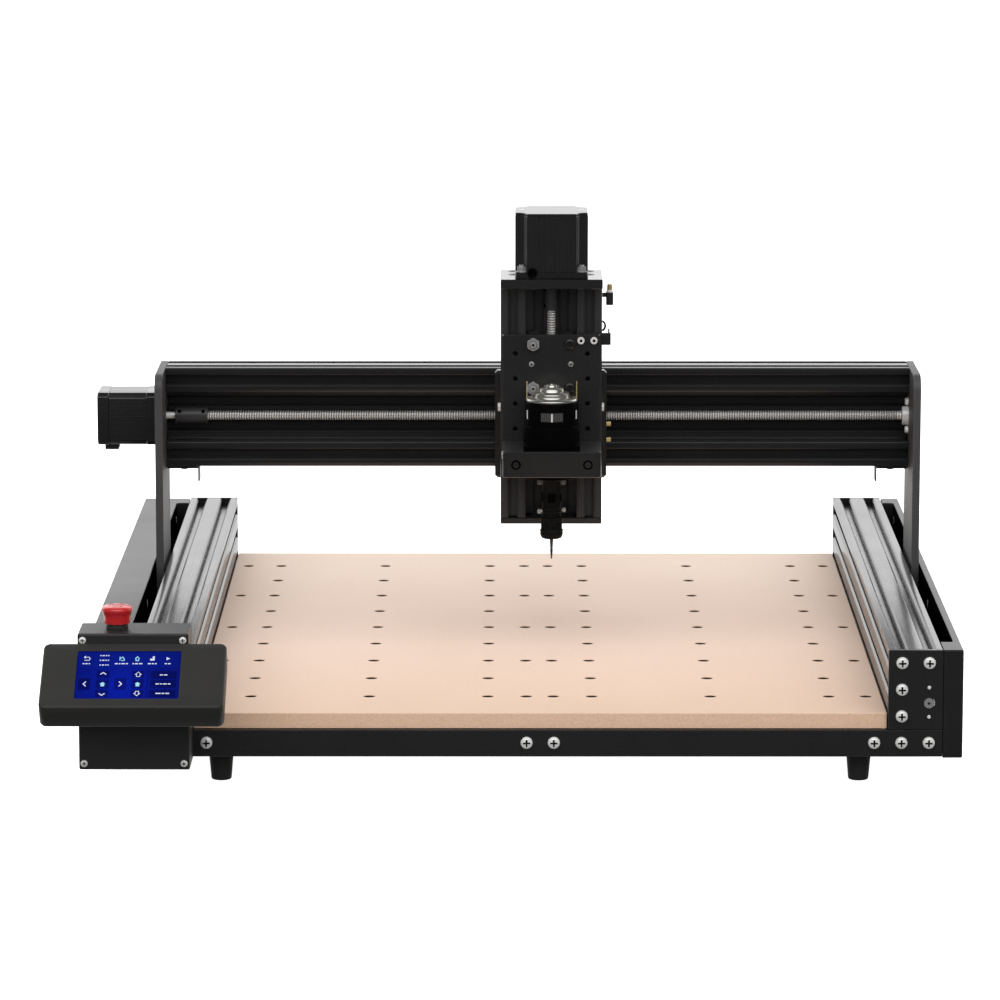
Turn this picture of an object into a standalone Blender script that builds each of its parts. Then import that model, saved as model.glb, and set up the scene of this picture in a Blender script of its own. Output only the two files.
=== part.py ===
"""Desktop CNC router: a drilled bed between two C-beam rails, with a gantry, a Z axis and a spindle.

Metres, +Z up. X runs left to right, Y from front to back. Positions below are in the machine's own
frame: x = 0 is the middle of the bed, y = 0 the middle of the rails, z = 0 the floor. One root empty
moves everything so that the origin is at the bottom centre of the whole machine's box.
"""

import math

import bmesh
import bpy

# ---------------------------------------------------------------- driving dimensions
GAP = 0.0003
CELL = 0.020
RAIL_HALF_LENGTH = 0.3177
PLATE_THICKNESS = 0.0036

# bed
BED_HALF_WIDTH = 0.2548
BED_TOP = 0.056
SUPPORT_BOTTOM = 0.024
SUPPORT_TOP = SUPPORT_BOTTOM + CELL
HOLE_RADIUS = 0.0042
HOLE_ROW_STEP = 0.0648
DENSE_COLUMNS = (0.03875, 0.1273, 0.2157)
SPARSE_COLUMNS = (0.010, 0.2435)

# Y rails and their covers
RAIL_X = 0.2754
RAIL_BOTTOM = 0.024
RAIL_TOP = 0.104
RAIL_Z = (RAIL_BOTTOM + RAIL_TOP) / 2
RAIL_OUTER_X = RAIL_X + CELL
SLOT_OUTER_X = 0.305
COVER_OUTER_X = 0.3104
COVER_FRONT = -0.3216
COVER_REAR = 0.3156
SLOT_FRONT = -0.291
SLOT_REAR = 0.293
COVER_BOTTOM = 0.023
ENCLOSURE_INNER_X = -0.306
ENCLOSURE_OUTER_X = -0.3342

# lead screws and V-wheels
SCREW_RADIUS = 0.004
SHAFT_RADIUS = 0.0032
Y_SCREW_X = RAIL_X + CELL / 2
WHEEL_RADIUS = 0.0076
WHEEL_HALF_WIDTH = 0.0044
WHEEL_OFFSET = 0.01435
WHEEL_SPACING = 0.028

# gantry
GANTRY_PLATE_X = 0.301
GANTRY_PLATE_THICKNESS = 0.006
GANTRY_FRONT = 0.011
GANTRY_REAR = 0.094
GANTRY_BOTTOM = 0.028
BEAM_TOP = 0.2565
BEAM_FRONT = 0.054
BEAM_Y = BEAM_FRONT + CELL
BEAM_Z = BEAM_TOP - 2 * CELL
X_SCREW_Y = BEAM_FRONT + CELL / 2
Y_NUT_Y = (GANTRY_FRONT + GANTRY_REAR) / 2

# X carriage and Z axis
CARRIAGE_X = 0.0105
X_PLATE_FRONT = 0.0313
X_PLATE_BACK = 0.0433
X_PLATE_BOTTOM = 0.171
X_PLATE_TOP = 0.2575
Z_RAIL_FRONT = -0.009
Z_RAIL_Y = Z_RAIL_FRONT + CELL
Z_RAIL_BOTTOM = 0.146
Z_RAIL_TOP = 0.3309
Z_SCREW_Y = Z_RAIL_FRONT + CELL / 2
Z_TOP_PLATE_TOP = 0.3388
Z_MOTOR_TOP = 0.3902
Z_PLATE_FRONT = -0.023
Z_PLATE_BACK = -0.015
Z_PLATE_BOTTOM = 0.1807
Z_PLATE_TOP = 0.294
Z_WHEEL_ROWS = (0.2522, 0.2869)

# spindle
SPINDLE_Y = -0.049
CLAMP_FRONT = -0.078
CLAMP_HALF_WIDTH = 0.0384
CLAMP_BOTTOM = 0.1898
CLAMP_TOP = 0.2103

# control box, display and stop button
CONTROL_LOW = (-0.3356, -0.363, 0.0236)
CONTROL_HIGH = (-0.255, -0.3219, 0.1245)
CONTROL_WALL = 0.0025
DISPLAY_X = -0.29325
DISPLAY_WIDTH = 0.1323
DISPLAY_LENGTH = 0.0688
DISPLAY_THICKNESS = 0.020
DISPLAY_TILT = math.radians(31.8)
DISPLAY_TOP_EDGE = (-0.365, 0.1183)
SCREEN_WIDTH = 0.0745
SCREEN_LENGTH = 0.049
SCREEN_X = -0.29695
SCREEN_CENTRE = 0.0332
STOP_X = -0.308
STOP_Y = -0.343

# motors
SMALL_MOTOR = 0.0421
SMALL_MOTOR_LENGTH = 0.048
BIG_MOTOR = 0.0572
Y_MOTOR_FRONT = RAIL_HALF_LENGTH + 2 * GAP + PLATE_THICKNESS

MACHINE_LEFT = DISPLAY_X - DISPLAY_WIDTH / 2
MACHINE_FRONT = DISPLAY_TOP_EDGE[0] - DISPLAY_LENGTH * math.cos(DISPLAY_TILT)
MACHINE_BACK = Y_MOTOR_FRONT + SMALL_MOTOR_LENGTH
ORIGIN_SHIFT = (-(MACHINE_LEFT + COVER_OUTER_X) / 2, -(MACHINE_FRONT + MACHINE_BACK) / 2, 0)

QUARTER = math.pi / 2
ALONG_X = (0, QUARTER, 0)
ALONG_Y = (QUARTER, 0, 0)
ALONG_Z = (0, 0, 0)
MERGE = 0.00005


# ---------------------------------------------------------------- scene set-up
def clear_scene():
    for thing in list(bpy.data.objects):
        bpy.data.objects.remove(thing, do_unlink=True)


def new_collection(name):
    collection = bpy.data.collections.new(name)
    bpy.context.scene.collection.children.link(collection)
    return collection


def new_material(name, colour, roughness, metallic):
    material = bpy.data.materials.new(name)
    material.use_nodes = True
    shader = material.node_tree.nodes["Principled BSDF"]
    shader.inputs["Base Color"].default_value = (*colour, 1)
    shader.inputs["Roughness"].default_value = roughness
    shader.inputs["Metallic"].default_value = metallic
    material.diffuse_color = (*colour, 1)
    return material


clear_scene()
PARTS = new_collection("cnc_router")
CUTTERS = new_collection("cutters")
ANODISED = new_material("black_anodised", (0.014, 0.014, 0.015), 0.38, 0.6)
MOTOR_BLACK = new_material("motor_black", (0.012, 0.012, 0.013), 0.45, 0.3)
BLACK_PLASTIC = new_material("black_plastic", (0.012, 0.012, 0.012), 0.5, 0.0)
RUBBER = new_material("rubber", (0.012, 0.012, 0.012), 0.8, 0.0)
BOARD = new_material("bed_board", (0.70, 0.50, 0.38), 0.75, 0.0)
STEEL = new_material("steel", (0.62, 0.60, 0.57), 0.28, 1.0)
SCREEN = new_material("screen_glass", (0.01, 0.03, 0.40), 0.12, 0.0)
RED = new_material("stop_red", (0.60, 0.015, 0.015), 0.35, 0.0)
NUT_BLACK = new_material("nut_black", (0.02, 0.02, 0.02), 0.5, 0.0)
WHEEL = new_material("wheel_plastic", (0.015, 0.015, 0.015), 0.4, 0.0)
CIRCUIT = new_material("circuit_green", (0.02, 0.12, 0.06), 0.5, 0.0)


def new_empty(name, location, parent=None):
    empty = bpy.data.objects.new(name, None)
    empty.location = location
    empty.parent = parent
    PARTS.objects.link(empty)
    return empty


ROOT = new_empty("router_root", ORIGIN_SHIFT)


# ---------------------------------------------------------------- modelling tools
def place(name, mesh, material, location=(0, 0, 0), rotation=(0, 0, 0)):
    """Put a mesh in the parts collection, or among the cutters if it has no material."""
    thing = bpy.data.objects.new(name, mesh)
    thing.location = location
    thing.rotation_euler = rotation
    thing.parent = ROOT
    if material is None:
        CUTTERS.objects.link(thing)
        thing.hide_render = True
        thing.display_type = "WIRE"
    else:
        PARTS.objects.link(thing)
        mesh.materials.append(material)
    return thing


def box(name, low, high, material=None):
    """A box between two corners, with its origin at its centre."""
    mesh = bpy.data.meshes.new(name)
    shape = bmesh.new()
    bmesh.ops.create_cube(shape, size=1)
    size = [b - a for a, b in zip(low, high)]
    bmesh.ops.scale(shape, vec=size, verts=shape.verts)
    shape.to_mesh(mesh)
    shape.free()
    return place(name, mesh, material, [(a + b) / 2 for a, b in zip(low, high)])


def cylinder(name, radius, length, centre, axis, material=None, top_radius=None, sides=16):
    """A cylinder or a cone about its own Z, turned to lie along an axis."""
    mesh = bpy.data.meshes.new(name)
    shape = bmesh.new()
    bmesh.ops.create_cone(shape, cap_ends=True, segments=sides, radius1=radius,
                          radius2=radius if top_radius is None else top_radius, depth=length)
    shape.to_mesh(mesh)
    shape.free()
    thing = place(name, mesh, material, centre, axis)
    smooth_rounds(thing)
    return thing


def smooth_rounds(thing):
    thing.data.shade_smooth()
    thing.data.set_sharp_from_angle(angle=math.radians(35))


def turned(name, profile, material, centre, axis=ALONG_Z, sides=24, ring=False):
    """A profile of (radius, height) points, from the top down its outer side, turned about Z."""
    mesh = bpy.data.meshes.new(name)
    points = [(radius, 0, height) for radius, height in profile]
    edges = [(i, i + 1) for i in range(len(points) - 1)]
    if ring:
        edges.append((len(points) - 1, 0))
    mesh.from_pydata(points, edges, [])
    thing = place(name, mesh, material, centre, axis)
    screw = thing.modifiers.new("turn", "SCREW")
    screw.steps = sides
    screw.render_steps = sides
    screw.use_merge_vertices = True
    screw.merge_threshold = MERGE
    return thing


def extruded(name, outline, thickness, material=None, centre=(0, 0, 0), rotation=(0, 0, 0)):
    """A flat outline in local XY, extruded both ways along local Z."""
    curve = bpy.data.curves.new(name, "CURVE")
    curve.dimensions = "2D"
    curve.fill_mode = "BOTH"
    curve.extrude = thickness / 2
    spline = curve.splines.new("POLY")
    spline.points.add(len(outline) - 1)
    for point, (x, y) in zip(spline.points, outline):
        point.co = (x, y, 0, 1)
    spline.use_cyclic_u = True
    source = bpy.data.objects.new(name + "_outline", curve)
    PARTS.objects.link(source)
    graph = bpy.context.evaluated_depsgraph_get()
    mesh = bpy.data.meshes.new_from_object(source.evaluated_get(graph))
    bpy.data.objects.remove(source)
    bpy.data.curves.remove(curve)
    mesh.name = name
    mesh.materials.clear()
    shape = bmesh.new()
    shape.from_mesh(mesh)
    bmesh.ops.remove_doubles(shape, verts=shape.verts, dist=MERGE)
    bmesh.ops.recalc_face_normals(shape, faces=shape.faces)
    shape.to_mesh(mesh)
    shape.free()
    return place(name, mesh, material, centre, rotation)


def bevel(thing, width, segments=2):
    modifier = thing.modifiers.new("bevel", "BEVEL")
    modifier.width = width
    modifier.segments = segments
    modifier.limit_method = "ANGLE"
    modifier.angle_limit = math.radians(40)
    return thing


def combine(thing, other, operation):
    modifier = thing.modifiers.new(operation.lower(), "BOOLEAN")
    modifier.operation = operation
    modifier.object = other


def cut(thing, *cutters):
    for cutter in cutters:
        combine(thing, cutter, "DIFFERENCE")
    return thing


def join(thing, *others):
    for other in others:
        combine(thing, other, "UNION")
    return thing


def rounded_rectangle(width, height, radius, steps=3):
    """Outline points of a rectangle with round corners, counter-clockwise about the origin."""
    points = []
    corners = ((1, 1, 0), (-1, 1, 1), (-1, -1, 2), (1, -1, 3))
    for side_x, side_y, quarter in corners:
        for step in range(steps + 1):
            angle = QUARTER * (quarter + step / steps)
            points.append((side_x * (width / 2 - radius) + radius * math.cos(angle),
                           side_y * (height / 2 - radius) + radius * math.sin(angle)))
    return points


# ---------------------------------------------------------------- extrusion profiles
SLOT_MOUTH = 0.0045
SLOT_NECK = 0.00275
SLOT_BEVEL = 0.00175
SLOT_DEPTH = 0.0055
SLOT_SHAPE = ((-SLOT_MOUTH, 0), (-SLOT_NECK, SLOT_BEVEL), (-SLOT_NECK, SLOT_DEPTH),
              (SLOT_NECK, SLOT_DEPTH), (SLOT_NECK, SLOT_BEVEL), (SLOT_MOUTH, 0))


def slotted_outline(corners):
    """A counter-clockwise outline whose sides each carry one V-slot for every 20 mm cell."""
    points = []
    for (x0, y0), (x1, y1) in zip(corners, corners[1:] + corners[:1]):
        length = math.hypot(x1 - x0, y1 - y0)
        along = ((x1 - x0) / length, (y1 - y0) / length)
        inward = (-along[1], along[0])
        points.append((x0, y0))
        for cell in range(round(length / CELL)):
            middle = (cell + 0.5) * CELL
            for offset, depth in SLOT_SHAPE:
                points.append((x0 + along[0] * (middle + offset) + inward[0] * depth,
                               y0 + along[1] * (middle + offset) + inward[1] * depth))
    return points


# The C-beam is 80 mm along local Y and 40 mm deep along local X. Its channel opens towards -X.
C_BEAM = slotted_outline([(-CELL, -2 * CELL), (CELL, -2 * CELL), (CELL, 2 * CELL), (-CELL, 2 * CELL),
                          (-CELL, CELL), (0, CELL), (0, -CELL), (-CELL, -CELL)])
SQUARE_BEAM = slotted_outline([(-CELL / 2, -CELL / 2), (CELL / 2, -CELL / 2),
                               (CELL / 2, CELL / 2), (-CELL / 2, CELL / 2)])
FLAT_BEAM = slotted_outline([(-CELL, -CELL / 2), (CELL, -CELL / 2), (CELL, CELL / 2), (-CELL, CELL / 2)])


# ---------------------------------------------------------------- bed and frame
def hole_places():
    """Centres of the bed's holes: nine rows in the dense columns, every other row in the sparse ones."""
    places = []
    for row in range(-4, 5):
        columns = DENSE_COLUMNS if row % 2 else DENSE_COLUMNS + SPARSE_COLUMNS
        for column in columns:
            places += [(column, row * HOLE_ROW_STEP), (-column, row * HOLE_ROW_STEP)]
    return places


def make_bed():
    board = box("spoilboard", (-BED_HALF_WIDTH, -RAIL_HALF_LENGTH, SUPPORT_TOP + GAP),
                (BED_HALF_WIDTH, RAIL_HALF_LENGTH, BED_TOP), BOARD)
    mesh = bpy.data.meshes.new("bed_holes")
    shape = bmesh.new()
    for x, y in hole_places():
        hole = bmesh.ops.create_cone(shape, cap_ends=True, segments=8, radius1=HOLE_RADIUS,
                                     radius2=HOLE_RADIUS, depth=0.05)
        bmesh.ops.translate(shape, vec=(x, y, BED_TOP), verts=hole["verts"])
    shape.to_mesh(mesh)
    shape.free()
    cut(board, place("bed_holes", mesh, None))
    middle = (SUPPORT_BOTTOM + SUPPORT_TOP) / 2
    extruded("bed_support_centre", FLAT_BEAM, 2 * RAIL_HALF_LENGTH, ANODISED, (0, 0, middle), ALONG_Y)
    side_x = RAIL_X - 1.5 * CELL - GAP
    for name, x in (("bed_support_left", -side_x), ("bed_support_right", side_x)):
        extruded(name, SQUARE_BEAM, 2 * RAIL_HALF_LENGTH, ANODISED, (x, 0, middle), ALONG_Y)


def make_rails():
    extruded("y_rail_left", C_BEAM, 2 * RAIL_HALF_LENGTH, ANODISED, (-RAIL_X, 0, RAIL_Z), ALONG_Y)
    extruded("y_rail_right", C_BEAM, 2 * RAIL_HALF_LENGTH, ANODISED, (RAIL_X, 0, RAIL_Z),
             (QUARTER, 0, math.pi))


def make_end_plates():
    """Cross plates under the bed's ends, and one plate over each end of each Y rail."""
    inner = RAIL_HALF_LENGTH + GAP
    outer = inner + PLATE_THICKNESS
    for end, front, back in (("front", -outer, -inner), ("rear", inner, outer)):
        bevel(box(end + "_cross_plate", (-RAIL_OUTER_X, front, SUPPORT_BOTTOM),
                  (RAIL_OUTER_X, back, SUPPORT_TOP), ANODISED), 0.0004, 1)
        for side, sign in (("left", -1), ("right", 1)):
            edges = sorted((sign * (RAIL_X - CELL), sign * RAIL_OUTER_X))
            plate = box(f"end_plate_{end}_{side}", (edges[0], front, SUPPORT_TOP + GAP),
                        (edges[1], back, RAIL_TOP), ANODISED)
            bevel(plate, 0.0004, 1)
            name = f"screw_hole_{end}_{side}"
            cut(plate, cylinder(name, SCREW_RADIUS + 0.0006, 0.02,
                                (sign * Y_SCREW_X, (front + back) / 2, RAIL_Z), ALONG_Y))


def slot_corner(x, y, sign, turn):
    """Points of a round inside corner of the gantry's slot; turn is +1 at the rear and -1 at the front."""
    radius, steps = 0.003, 3
    points = []
    for step in range(steps + 1):
        angle = QUARTER * step / steps
        points.append((x - sign * radius * (1 - math.sin(angle)), y - turn * radius * (1 - math.cos(angle))))
    return points


def cover_outline(outer_x, slot_x):
    """Plan of a side cover: a long wall with a block at each end that closes the gantry's slot."""
    sign = math.copysign(1, outer_x)
    inner_x = sign * (RAIL_OUTER_X + GAP)
    points = [(inner_x, COVER_FRONT), (outer_x, COVER_FRONT), (outer_x, COVER_REAR), (inner_x, COVER_REAR),
              (inner_x, SLOT_REAR)]
    points += slot_corner(slot_x, SLOT_REAR, sign, 1)
    points += slot_corner(slot_x, SLOT_FRONT, sign, -1)[::-1]
    points.append((inner_x, SLOT_FRONT))
    return points if sign > 0 else points[::-1]


def make_covers():
    height = RAIL_TOP - COVER_BOTTOM
    middle = (0, 0, (RAIL_TOP + COVER_BOTTOM) / 2)
    cover = extruded("side_cover_right", cover_outline(COVER_OUTER_X, SLOT_OUTER_X), height, ANODISED, middle)
    bevel(cover, 0.0008, 1)
    enclosure = extruded("electronics_enclosure", cover_outline(ENCLOSURE_OUTER_X, ENCLOSURE_INNER_X),
                         height, ANODISED, middle)
    bevel(enclosure, 0.0008, 1)
    wall = 0.002
    cavity = box("enclosure_cavity", (ENCLOSURE_OUTER_X + wall, COVER_FRONT + 0.005, COVER_BOTTOM + wall),
                 (ENCLOSURE_INNER_X - wall, COVER_REAR - 0.003, RAIL_TOP - wall))
    inlet_x = (ENCLOSURE_OUTER_X + ENCLOSURE_INNER_X) / 2
    inlet = box("inlet_opening", (inlet_x - 0.008, COVER_REAR - 0.010, 0.045),
                (inlet_x + 0.008, COVER_REAR + 0.010, 0.072))
    cut(enclosure, cavity, inlet)


def make_control_board():
    """The board stands on edge inside the left enclosure, with its drivers and terminals facing inwards."""
    face = ENCLOSURE_OUTER_X + 0.0068
    board = box("control_board", (face, -0.200, 0.034), (face + 0.0016, -0.020, 0.094), CIRCUIT)
    for index in range(3):
        front = -0.180 + index * 0.035
        join(board, box(f"driver_{index}", (face + 0.001, front, 0.060), (face + 0.012, front + 0.020, 0.080)))
    join(board, box("terminals", (face + 0.001, -0.190, 0.037), (face + 0.011, -0.060, 0.047)))


def make_feet():
    length = SUPPORT_BOTTOM - GAP
    for side, x in (("left", -0.2363), ("right", 0.2363)):
        for end, y in (("front", -0.289), ("rear", 0.289)):
            cylinder(f"foot_{end}_{side}", 0.0075, length, (x, y, length / 2), ALONG_Z, RUBBER,
                     top_radius=0.0095, sides=20)


# ---------------------------------------------------------------- control box, display and stop button
def make_control_box():
    shell = bevel(box("control_box", CONTROL_LOW, CONTROL_HIGH, BLACK_PLASTIC), 0.0012, 2)
    cavity = box("control_cavity", [value + CONTROL_WALL for value in CONTROL_LOW],
                 [value - CONTROL_WALL for value in CONTROL_HIGH])
    stem_hole = cylinder("stem_hole", 0.0036, 0.02, (STOP_X, STOP_Y, CONTROL_HIGH[2]), ALONG_Z)
    cut(shell, cavity, stem_hole)


def display_point(down, depth):
    """The (y, z) point a distance down the tilted face and a depth below it."""
    slope_y, slope_z = math.cos(DISPLAY_TILT), math.sin(DISPLAY_TILT)
    return (DISPLAY_TOP_EDGE[0] - down * slope_y + depth * slope_z,
            DISPLAY_TOP_EDGE[1] - down * slope_z - depth * slope_y)


def make_display():
    """A tilted slab with a pocket for its glass, cut flat where it meets the control box."""
    tilt = (DISPLAY_TILT, 0, 0)
    centre = (DISPLAY_X, *display_point(DISPLAY_LENGTH / 2, DISPLAY_THICKNESS / 2))
    housing = extruded("display_housing", rounded_rectangle(DISPLAY_WIDTH, DISPLAY_LENGTH, 0.005),
                       DISPLAY_THICKNESS, BLACK_PLASTIC, centre, tilt)
    bevel(housing, 0.0012, 2)
    pocket_depth = 0.0015
    pocket = extruded("glass_pocket", rounded_rectangle(SCREEN_WIDTH + 2 * GAP, SCREEN_LENGTH + 2 * GAP, 0.0015),
                      2 * pocket_depth, None, (SCREEN_X, *display_point(SCREEN_CENTRE, 0)), tilt)
    back_cut = box("display_back_cut", (MACHINE_LEFT - 0.01, CONTROL_LOW[1] - GAP, 0.05),
                   (-0.21, CONTROL_LOW[1] + 0.05, 0.15))
    cut(housing, pocket, back_cut)
    glass_thickness = pocket_depth - 2 * GAP
    extruded("display_glass", rounded_rectangle(SCREEN_WIDTH, SCREEN_LENGTH, 0.0015), glass_thickness, SCREEN,
             (SCREEN_X, *display_point(SCREEN_CENTRE, GAP + glass_thickness / 2)), tilt)


def make_stop_button():
    base = CONTROL_HIGH[2]
    turned("estop_collar", [(0.0036, 0.0042), (0.0072, 0.0042), (0.008, 0.0034), (0.008, GAP), (0.0036, GAP)],
           BLACK_PLASTIC, (STOP_X, STOP_Y, base), ring=True)
    # the cap hangs over the collar, and its stem runs down through the control box's lid
    cap = [(0, 0.0174), (0.0085, 0.0171), (0.0112, 0.0160), (0.0115, 0.0145), (0.0110, 0.0126),
           (0.0098, 0.0090), (0.0094, 0.0043), (0.0083, 0.0043), (0.0083, 0.0090), (0.0030, 0.0090),
           (0.0030, -0.0080), (0, -0.0080)]
    turned("estop_button", cap, RED, (STOP_X, STOP_Y, base))


# ---------------------------------------------------------------- motors
def small_motor(name, centre, rotation):
    """A 42 mm square stepper with cut corners, whose length runs along local Z."""
    outline = rounded_rectangle(SMALL_MOTOR, SMALL_MOTOR, 0.0045, 1)
    return extruded(name, outline, SMALL_MOTOR_LENGTH - GAP, MOTOR_BLACK, centre, rotation)


def make_y_motors():
    centre_y = Y_MOTOR_FRONT + (SMALL_MOTOR_LENGTH + GAP) / 2
    for side, sign in (("left", -1), ("right", 1)):
        small_motor("y_motor_" + side, (sign * Y_SCREW_X, centre_y, RAIL_Z), ALONG_Y)


def make_x_motor():
    face = GANTRY_PLATE_X + GANTRY_PLATE_THICKNESS / 2 + GAP
    motor = small_motor("x_motor", (-face - SMALL_MOTOR_LENGTH / 2, X_SCREW_Y, BEAM_Z), ALONG_X)
    bottom = BEAM_Z - SMALL_MOTOR / 2
    join(motor, box("x_motor_socket", (-face - 0.043, X_SCREW_Y - 0.008, bottom - 0.0055),
                    (-face - 0.032, X_SCREW_Y + 0.008, bottom + 0.002)))


def make_z_motor():
    """A 57 mm stepper: a square flange below a body with square notches for the four corner screws."""
    half, notch, flange = BIG_MOTOR / 2, 0.009, 0.005
    low = Z_TOP_PLATE_TOP + GAP
    motor = box("z_motor", (CARRIAGE_X - half, Z_SCREW_Y - half, low),
                (CARRIAGE_X + half, Z_SCREW_Y + half, Z_MOTOR_TOP), MOTOR_BLACK)
    for index, (side_x, side_y) in enumerate(((-1, -1), (1, -1), (-1, 1), (1, 1))):
        x = CARRIAGE_X + side_x * half
        y = Z_SCREW_Y + side_y * half
        cut(motor, box(f"z_motor_notch_{index}", (x - notch, y - notch, low + flange),
                       (x + notch, y + notch, Z_MOTOR_TOP + 0.01)))


# ---------------------------------------------------------------- lead screws
def make_y_screws():
    """From the front end plate to the rear motor, thicker where the coupler sits."""
    front, back = COVER_FRONT, Y_MOTOR_FRONT
    profile = [(0, back), (SHAFT_RADIUS, back), (SHAFT_RADIUS, 0.312), (0.007, 0.312), (0.007, 0.287),
               (SCREW_RADIUS, 0.287), (SCREW_RADIUS, front), (0, front)]
    for side, sign in (("left", -1), ("right", 1)):
        turned("y_leadscrew_" + side, profile, STEEL, (sign * Y_SCREW_X, 0, RAIL_Z), (-QUARTER, 0, 0), 16)


def coupler(name, length, radius, centre, axis):
    bore = SCREW_RADIUS + GAP
    half = length / 2
    profile = [(bore, half), (radius - 0.0006, half), (radius, half - 0.0006), (radius, -half + 0.0006),
               (radius - 0.0006, -half), (bore, -half)]
    return turned(name, profile, ANODISED, centre, axis, 20, ring=True)


def make_x_screw():
    left = -(GANTRY_PLATE_X + GANTRY_PLATE_THICKNESS / 2)
    right = GANTRY_PLATE_X
    cylinder("x_leadscrew", SCREW_RADIUS, right - left, ((left + right) / 2, X_SCREW_Y, BEAM_Z), ALONG_X, STEEL)
    coupler("x_coupler", 0.0261, 0.0064, (-0.2779, X_SCREW_Y, BEAM_Z), ALONG_X)


def make_z_screw():
    top, bottom = Z_TOP_PLATE_TOP, Z_RAIL_BOTTOM - 0.003
    cylinder("z_leadscrew", SCREW_RADIUS, top - bottom, (CARRIAGE_X, Z_SCREW_Y, (top + bottom) / 2), ALONG_Z,
             STEEL)
    coupler("z_coupler", 0.0199, 0.0054, (CARRIAGE_X, Z_SCREW_Y, 0.32065), ALONG_Z)


# ---------------------------------------------------------------- gantry
def axle(name, x, z, plate_face, wheel_y):
    """A spacer, an axle and its head in one turned piece along +Y, for joining to a plate."""
    near = wheel_y - WHEEL_HALF_WIDTH - GAP
    far = wheel_y + WHEEL_HALF_WIDTH + GAP
    length = far + 0.0026 - plate_face + 0.002
    profile = [(0, length), (0.0038, length), (0.0038, length - 0.0026), (0.0025, length - 0.0026),
               (0.0025, near - plate_face + 0.002), (0.004, near - plate_face + 0.002), (0.004, 0), (0, 0)]
    return turned(name, profile, None, (x, plate_face - 0.002, z), (-QUARTER, 0, 0), 12)


def make_gantry_plates():
    """Side plates with one round front corner at the top, running down into the side slots."""
    radius, steps = 0.012, 4
    outline = [(GANTRY_REAR, BEAM_TOP), (GANTRY_REAR, GANTRY_BOTTOM), (GANTRY_FRONT, GANTRY_BOTTOM)]
    for step in range(steps + 1):
        angle = math.pi - QUARTER * step / steps
        outline.append((GANTRY_FRONT + radius + radius * math.cos(angle),
                        BEAM_TOP - radius + radius * math.sin(angle)))
    for side, sign in (("left", -1), ("right", 1)):
        plate = extruded("gantry_plate_" + side, outline[::-1], GANTRY_PLATE_THICKNESS, ANODISED,
                         (sign * GANTRY_PLATE_X, 0, 0), (QUARTER, 0, QUARTER))
        bevel(plate, 0.0005, 1)
        cut(plate, cylinder("screw_way_" + side, SCREW_RADIUS + 0.0006, 0.02,
                            (sign * GANTRY_PLATE_X, X_SCREW_Y, BEAM_Z), ALONG_X))


def make_y_nuts():
    """Blocks bolted to the gantry plates that reach into the Y rails' channels around the screws."""
    inner = RAIL_X + 0.0012
    outer = GANTRY_PLATE_X - GANTRY_PLATE_THICKNESS / 2 - GAP
    for side, sign in (("left", -1), ("right", 1)):
        edges = sorted((sign * inner, sign * outer))
        block = bevel(box("y_nut_" + side, (edges[0], Y_NUT_Y - 0.016, RAIL_Z - 0.018),
                          (edges[1], Y_NUT_Y + 0.016, RAIL_Z + 0.018), NUT_BLACK), 0.0006, 1)
        cut(block, cylinder("y_nut_bore_" + side, SCREW_RADIUS + GAP, 0.05,
                            (sign * Y_SCREW_X, Y_NUT_Y, RAIL_Z), ALONG_Y))


def make_beam():
    half = GANTRY_PLATE_X - GANTRY_PLATE_THICKNESS / 2 - GAP
    extruded("x_beam", C_BEAM, 2 * half, ANODISED, (0, BEAM_Y, BEAM_Z), (QUARTER, 0, QUARTER))


# ---------------------------------------------------------------- X carriage
def make_x_carriage():
    half = 0.0445
    plate = bevel(box("x_carriage_plate", (CARRIAGE_X - half, X_PLATE_FRONT, X_PLATE_BOTTOM),
                      (CARRIAGE_X + half, X_PLATE_BACK, X_PLATE_TOP), ANODISED), 0.002, 1)
    for side_x in (-1, 1):
        for side_z in (-1, 1):
            x = CARRIAGE_X + side_x * WHEEL_SPACING
            z = BEAM_Z + side_z * WHEEL_OFFSET
            name = wheel_name("x", side_x, side_z)
            join(plate, axle(name + "_axle", x, z, X_PLATE_BACK, X_SCREW_Y))
            wheel(name, (x, X_SCREW_Y, z))
    block = bevel(box("x_nut", (CARRIAGE_X - 0.016, X_PLATE_BACK + GAP, BEAM_Z - 0.0185),
                      (CARRIAGE_X + 0.016, BEAM_Y - 0.001, BEAM_Z + 0.0185), NUT_BLACK), 0.0006, 1)
    cut(block, cylinder("x_nut_bore", SCREW_RADIUS + GAP, 0.05, (CARRIAGE_X, X_SCREW_Y, BEAM_Z), ALONG_X))


def wheel_name(axis, side_x, side_z):
    across = "right" if side_x > 0 else "left"
    height = "upper" if side_z > 0 else "lower"
    return f"{axis}_wheel_{height}_{across}"


def wheel(name, centre):
    """A small V-wheel with 45 degree flanks that run in the rail's V-slots, free on its axle."""
    half, tip, bore = WHEEL_HALF_WIDTH, 0.0022, 0.0028
    shoulder = WHEEL_RADIUS - (half - tip)
    profile = [(bore, half), (shoulder, half), (WHEEL_RADIUS, tip), (WHEEL_RADIUS, -tip), (shoulder, -half),
               (bore, -half)]
    return turned(name, profile, WHEEL, centre, ALONG_Y, 16, ring=True)


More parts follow.
